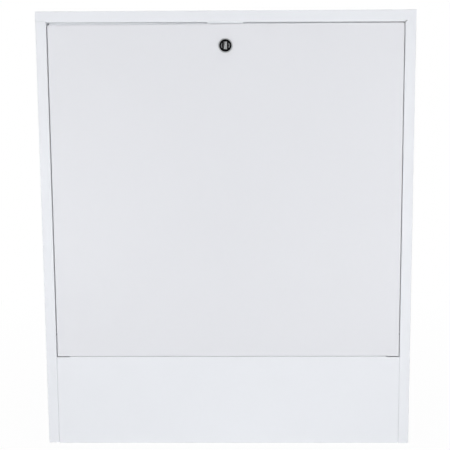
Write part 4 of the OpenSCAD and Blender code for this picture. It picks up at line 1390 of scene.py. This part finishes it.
# %% [markdown]
# ## The studio
#
# A cabinet like this is shown against plain white. The floor and the world look white to the
# camera and in mirrors and glass, while the light on the part comes from a dim, even room and from
# lamps. The floor keeps a little of its own shading, so the cabinet still throws a shadow.

# %% Floor and world
def seen_directly(tree):
    """1 for rays from the camera, from a mirror or through glass, and 0 for light that is scattered."""
    path = add(tree, "ShaderNodeLightPath")
    either = add(tree, "ShaderNodeMath", {0: path.outputs["Is Camera Ray"], 1: path.outputs["Is Glossy Ray"]},
                 operation="MAXIMUM")
    glass = path.outputs["Is Transmission Ray"]
    return add(tree, "ShaderNodeMath", {0: either, 1: glass}, operation="MAXIMUM")


def white_floor():
    """White to the eye, with a little shading near the cabinet that fades out with distance."""
    material, tree, place = start("white studio floor")
    far = add(tree, "ShaderNodeVectorMath", {0: place}, operation="LENGTH").outputs["Value"]
    part = add(tree, "ShaderNodeMapRange", {"Value": far, "From Min": 0.3, "From Max": 1.3, "To Min": 0.97})
    amount = add(tree, "ShaderNodeMath", {0: seen_directly(tree), 1: part}, operation="MULTIPLY")
    card = add(tree, "ShaderNodeBsdfDiffuse", {"Color": paint("#f4f4f4")})
    glow = add(tree, "ShaderNodeEmission", {"Color": paint("#ffffff"), "Strength": 1.0})
    mix = add(tree, "ShaderNodeMixShader", {0: amount, 1: card, 2: glow})
    add(tree, "ShaderNodeOutputMaterial", {"Surface": mix})
    return material


def sheet_of(name, corners, material):
    """A flat sheet of the studio."""
    mesh = bpy.data.meshes.new(name)
    mesh.from_pydata(corners, [], [(0, 1, 2, 3)])
    mesh.materials.append(material)
    piece = bpy.data.objects.new(name, mesh)
    bpy.context.scene.collection.objects.link(piece)
    return piece


# Half the floor's width, and its level, a hair under the cabinet
FLOOR = 6.0
UNDER = -0.0005
SQUARE_FLOOR = ((-1, -1), (1, -1), (1, 1), (-1, 1))
sheet_of("floor", [(x * FLOOR, y * FLOOR, UNDER) for x, y in SQUARE_FLOOR], white_floor())
world = bpy.data.worlds.new("studio")
world.use_nodes = True
bpy.context.scene.world = world
sky_tree = world.node_tree
sky_tree.nodes.clear()
room = add(sky_tree, "ShaderNodeBackground", {"Color": paint("#f6f8fb"), "Strength": 0.15})
white = add(sky_tree, "ShaderNodeBackground", {"Color": paint("#ffffff"), "Strength": 1.0})
sky = add(sky_tree, "ShaderNodeMixShader", {0: seen_directly(sky_tree), 1: room, 2: white})
add(sky_tree, "ShaderNodeOutputWorld", {"Surface": sky})
print("floor", 2 * FLOOR, "m wide, white world")

# %% [markdown]
# ## Lamps
#
# A wide soft box in front does most of the work, and a low strip fills in the lower panel. Smaller
# boxes stand left and right, one hangs above, and one stands behind, where it lights the floor and
# the rear. The front and back boxes are hidden from mirrors, or the sheet would shine like glass.

# %% Lamps
def lamp(name, place, aim, size, power, in_mirrors=True):
    data = bpy.data.lights.new(name, "AREA")
    data.shape = "RECTANGLE"
    data.size, data.size_y = size
    data.energy = power
    data.color = paint("#fcfcff")[:3]
    piece = bpy.data.objects.new(name, data)
    piece.location = place
    piece.rotation_euler = (Vector(aim) - Vector(place)).to_track_quat("-Z", "Y").to_euler()
    piece.visible_camera = False
    piece.visible_glossy = in_mirrors
    bpy.context.scene.collection.objects.link(piece)


MIDDLE = (0, 0, 0.35)
lamp("front softbox", (0, -2.5, 0.53), (0, 0, 0.5), (1.9, 0.36), 18.6, in_mirrors=False)
lamp("low strip", (0, -1.6, 0.1), (0, 0, 0.4), (1.8, 0.16), 2.7)
lamp("left softbox", (-1.15, -1.1, 0.45), MIDDLE, (0.8, 0.6), 4.0)
lamp("right softbox", (1.15, -1.1, 0.45), MIDDLE, (0.8, 0.6), 4.2)
lamp("top softbox", (0, -0.4, 2.3), MIDDLE, (1.2, 1.2), 11)
lamp("back softbox", (0, 2.5, 1.2), MIDDLE, (1.6, 1.2), 36, in_mirrors=False)
print(len(bpy.data.lights), "lamps")

# %% [markdown]
# ## Flag and grey card
#
# A black flag stands behind the camera, with a glowing grey card over it that is lighter to the
# right. Only mirrors see them. They give the chrome something dark to reflect, and they take the
# glare off the door.

# %% Flag and card
flag_cloth, tree, place = start("black flag cloth")
weave = add(tree, "ShaderNodeTexNoise", {"Vector": place, "Scale": every(8)})
dye = add(tree, "ShaderNodeMixRGB", {"Fac": weave, "Color1": paint("#101010"), "Color2": paint("#1c1c1c")})
add(tree, "ShaderNodeOutputMaterial", {"Surface": add(tree, "ShaderNodeBsdfDiffuse", {"Color": dye})})

grey_card, tree, place = start("grey card, lighter to the right")
across = add(tree, "ShaderNodeSeparateXYZ", {"Vector": place}).outputs["X"]
grade = add(tree, "ShaderNodeMapRange",
            {"Value": across, "From Min": -0.34, "From Max": 0.18, "To Min": 0.3, "To Max": 0.75})
add(tree, "ShaderNodeOutputMaterial", {"Surface": add(tree, "ShaderNodeEmission", {"Strength": grade})})

BEHIND = -1.9
CARD_LEFT, CARD_RIGHT = -0.6, 0.5
for name, material, low_z, high_z in (("flag", flag_cloth, 0, 0.72), ("grey card", grey_card, 0.72, 1.2)):
    corners = [
        (CARD_LEFT, BEHIND, low_z), (CARD_RIGHT, BEHIND, low_z),
        (CARD_RIGHT, BEHIND, high_z), (CARD_LEFT, BEHIND, high_z),
    ]
    card = sheet_of(name, corners, material)
    card.visible_camera = False
    card.visible_diffuse = False
    card.visible_shadow = False
    card.visible_transmission = False
print("flag and card", -BEHIND, "m in front of the cabinet")

# %% [markdown]
# ## Camera
#
# The camera looks at the door a little from above, and stands slightly right of its middle. Its
# lens is shifted sideways instead of turned, so that the cabinet stays nearly square to it.

# %% Camera
camera_data = bpy.data.cameras.new("camera")
camera_data.lens = 56
camera_data.sensor_width = 36
camera_data.shift_x = -0.0556
camera = bpy.data.objects.new("camera", camera_data)
camera.location = (0.0489, -1.2005, 0.4807)
camera.rotation_euler = [math.radians(a) for a in (84.196, 0.224, 0.549)]
bpy.context.scene.collection.objects.link(camera)
bpy.context.scene.camera = camera
bpy.context.scene.view_settings.view_transform = "Standard"
print("lens", camera_data.lens, "mm")
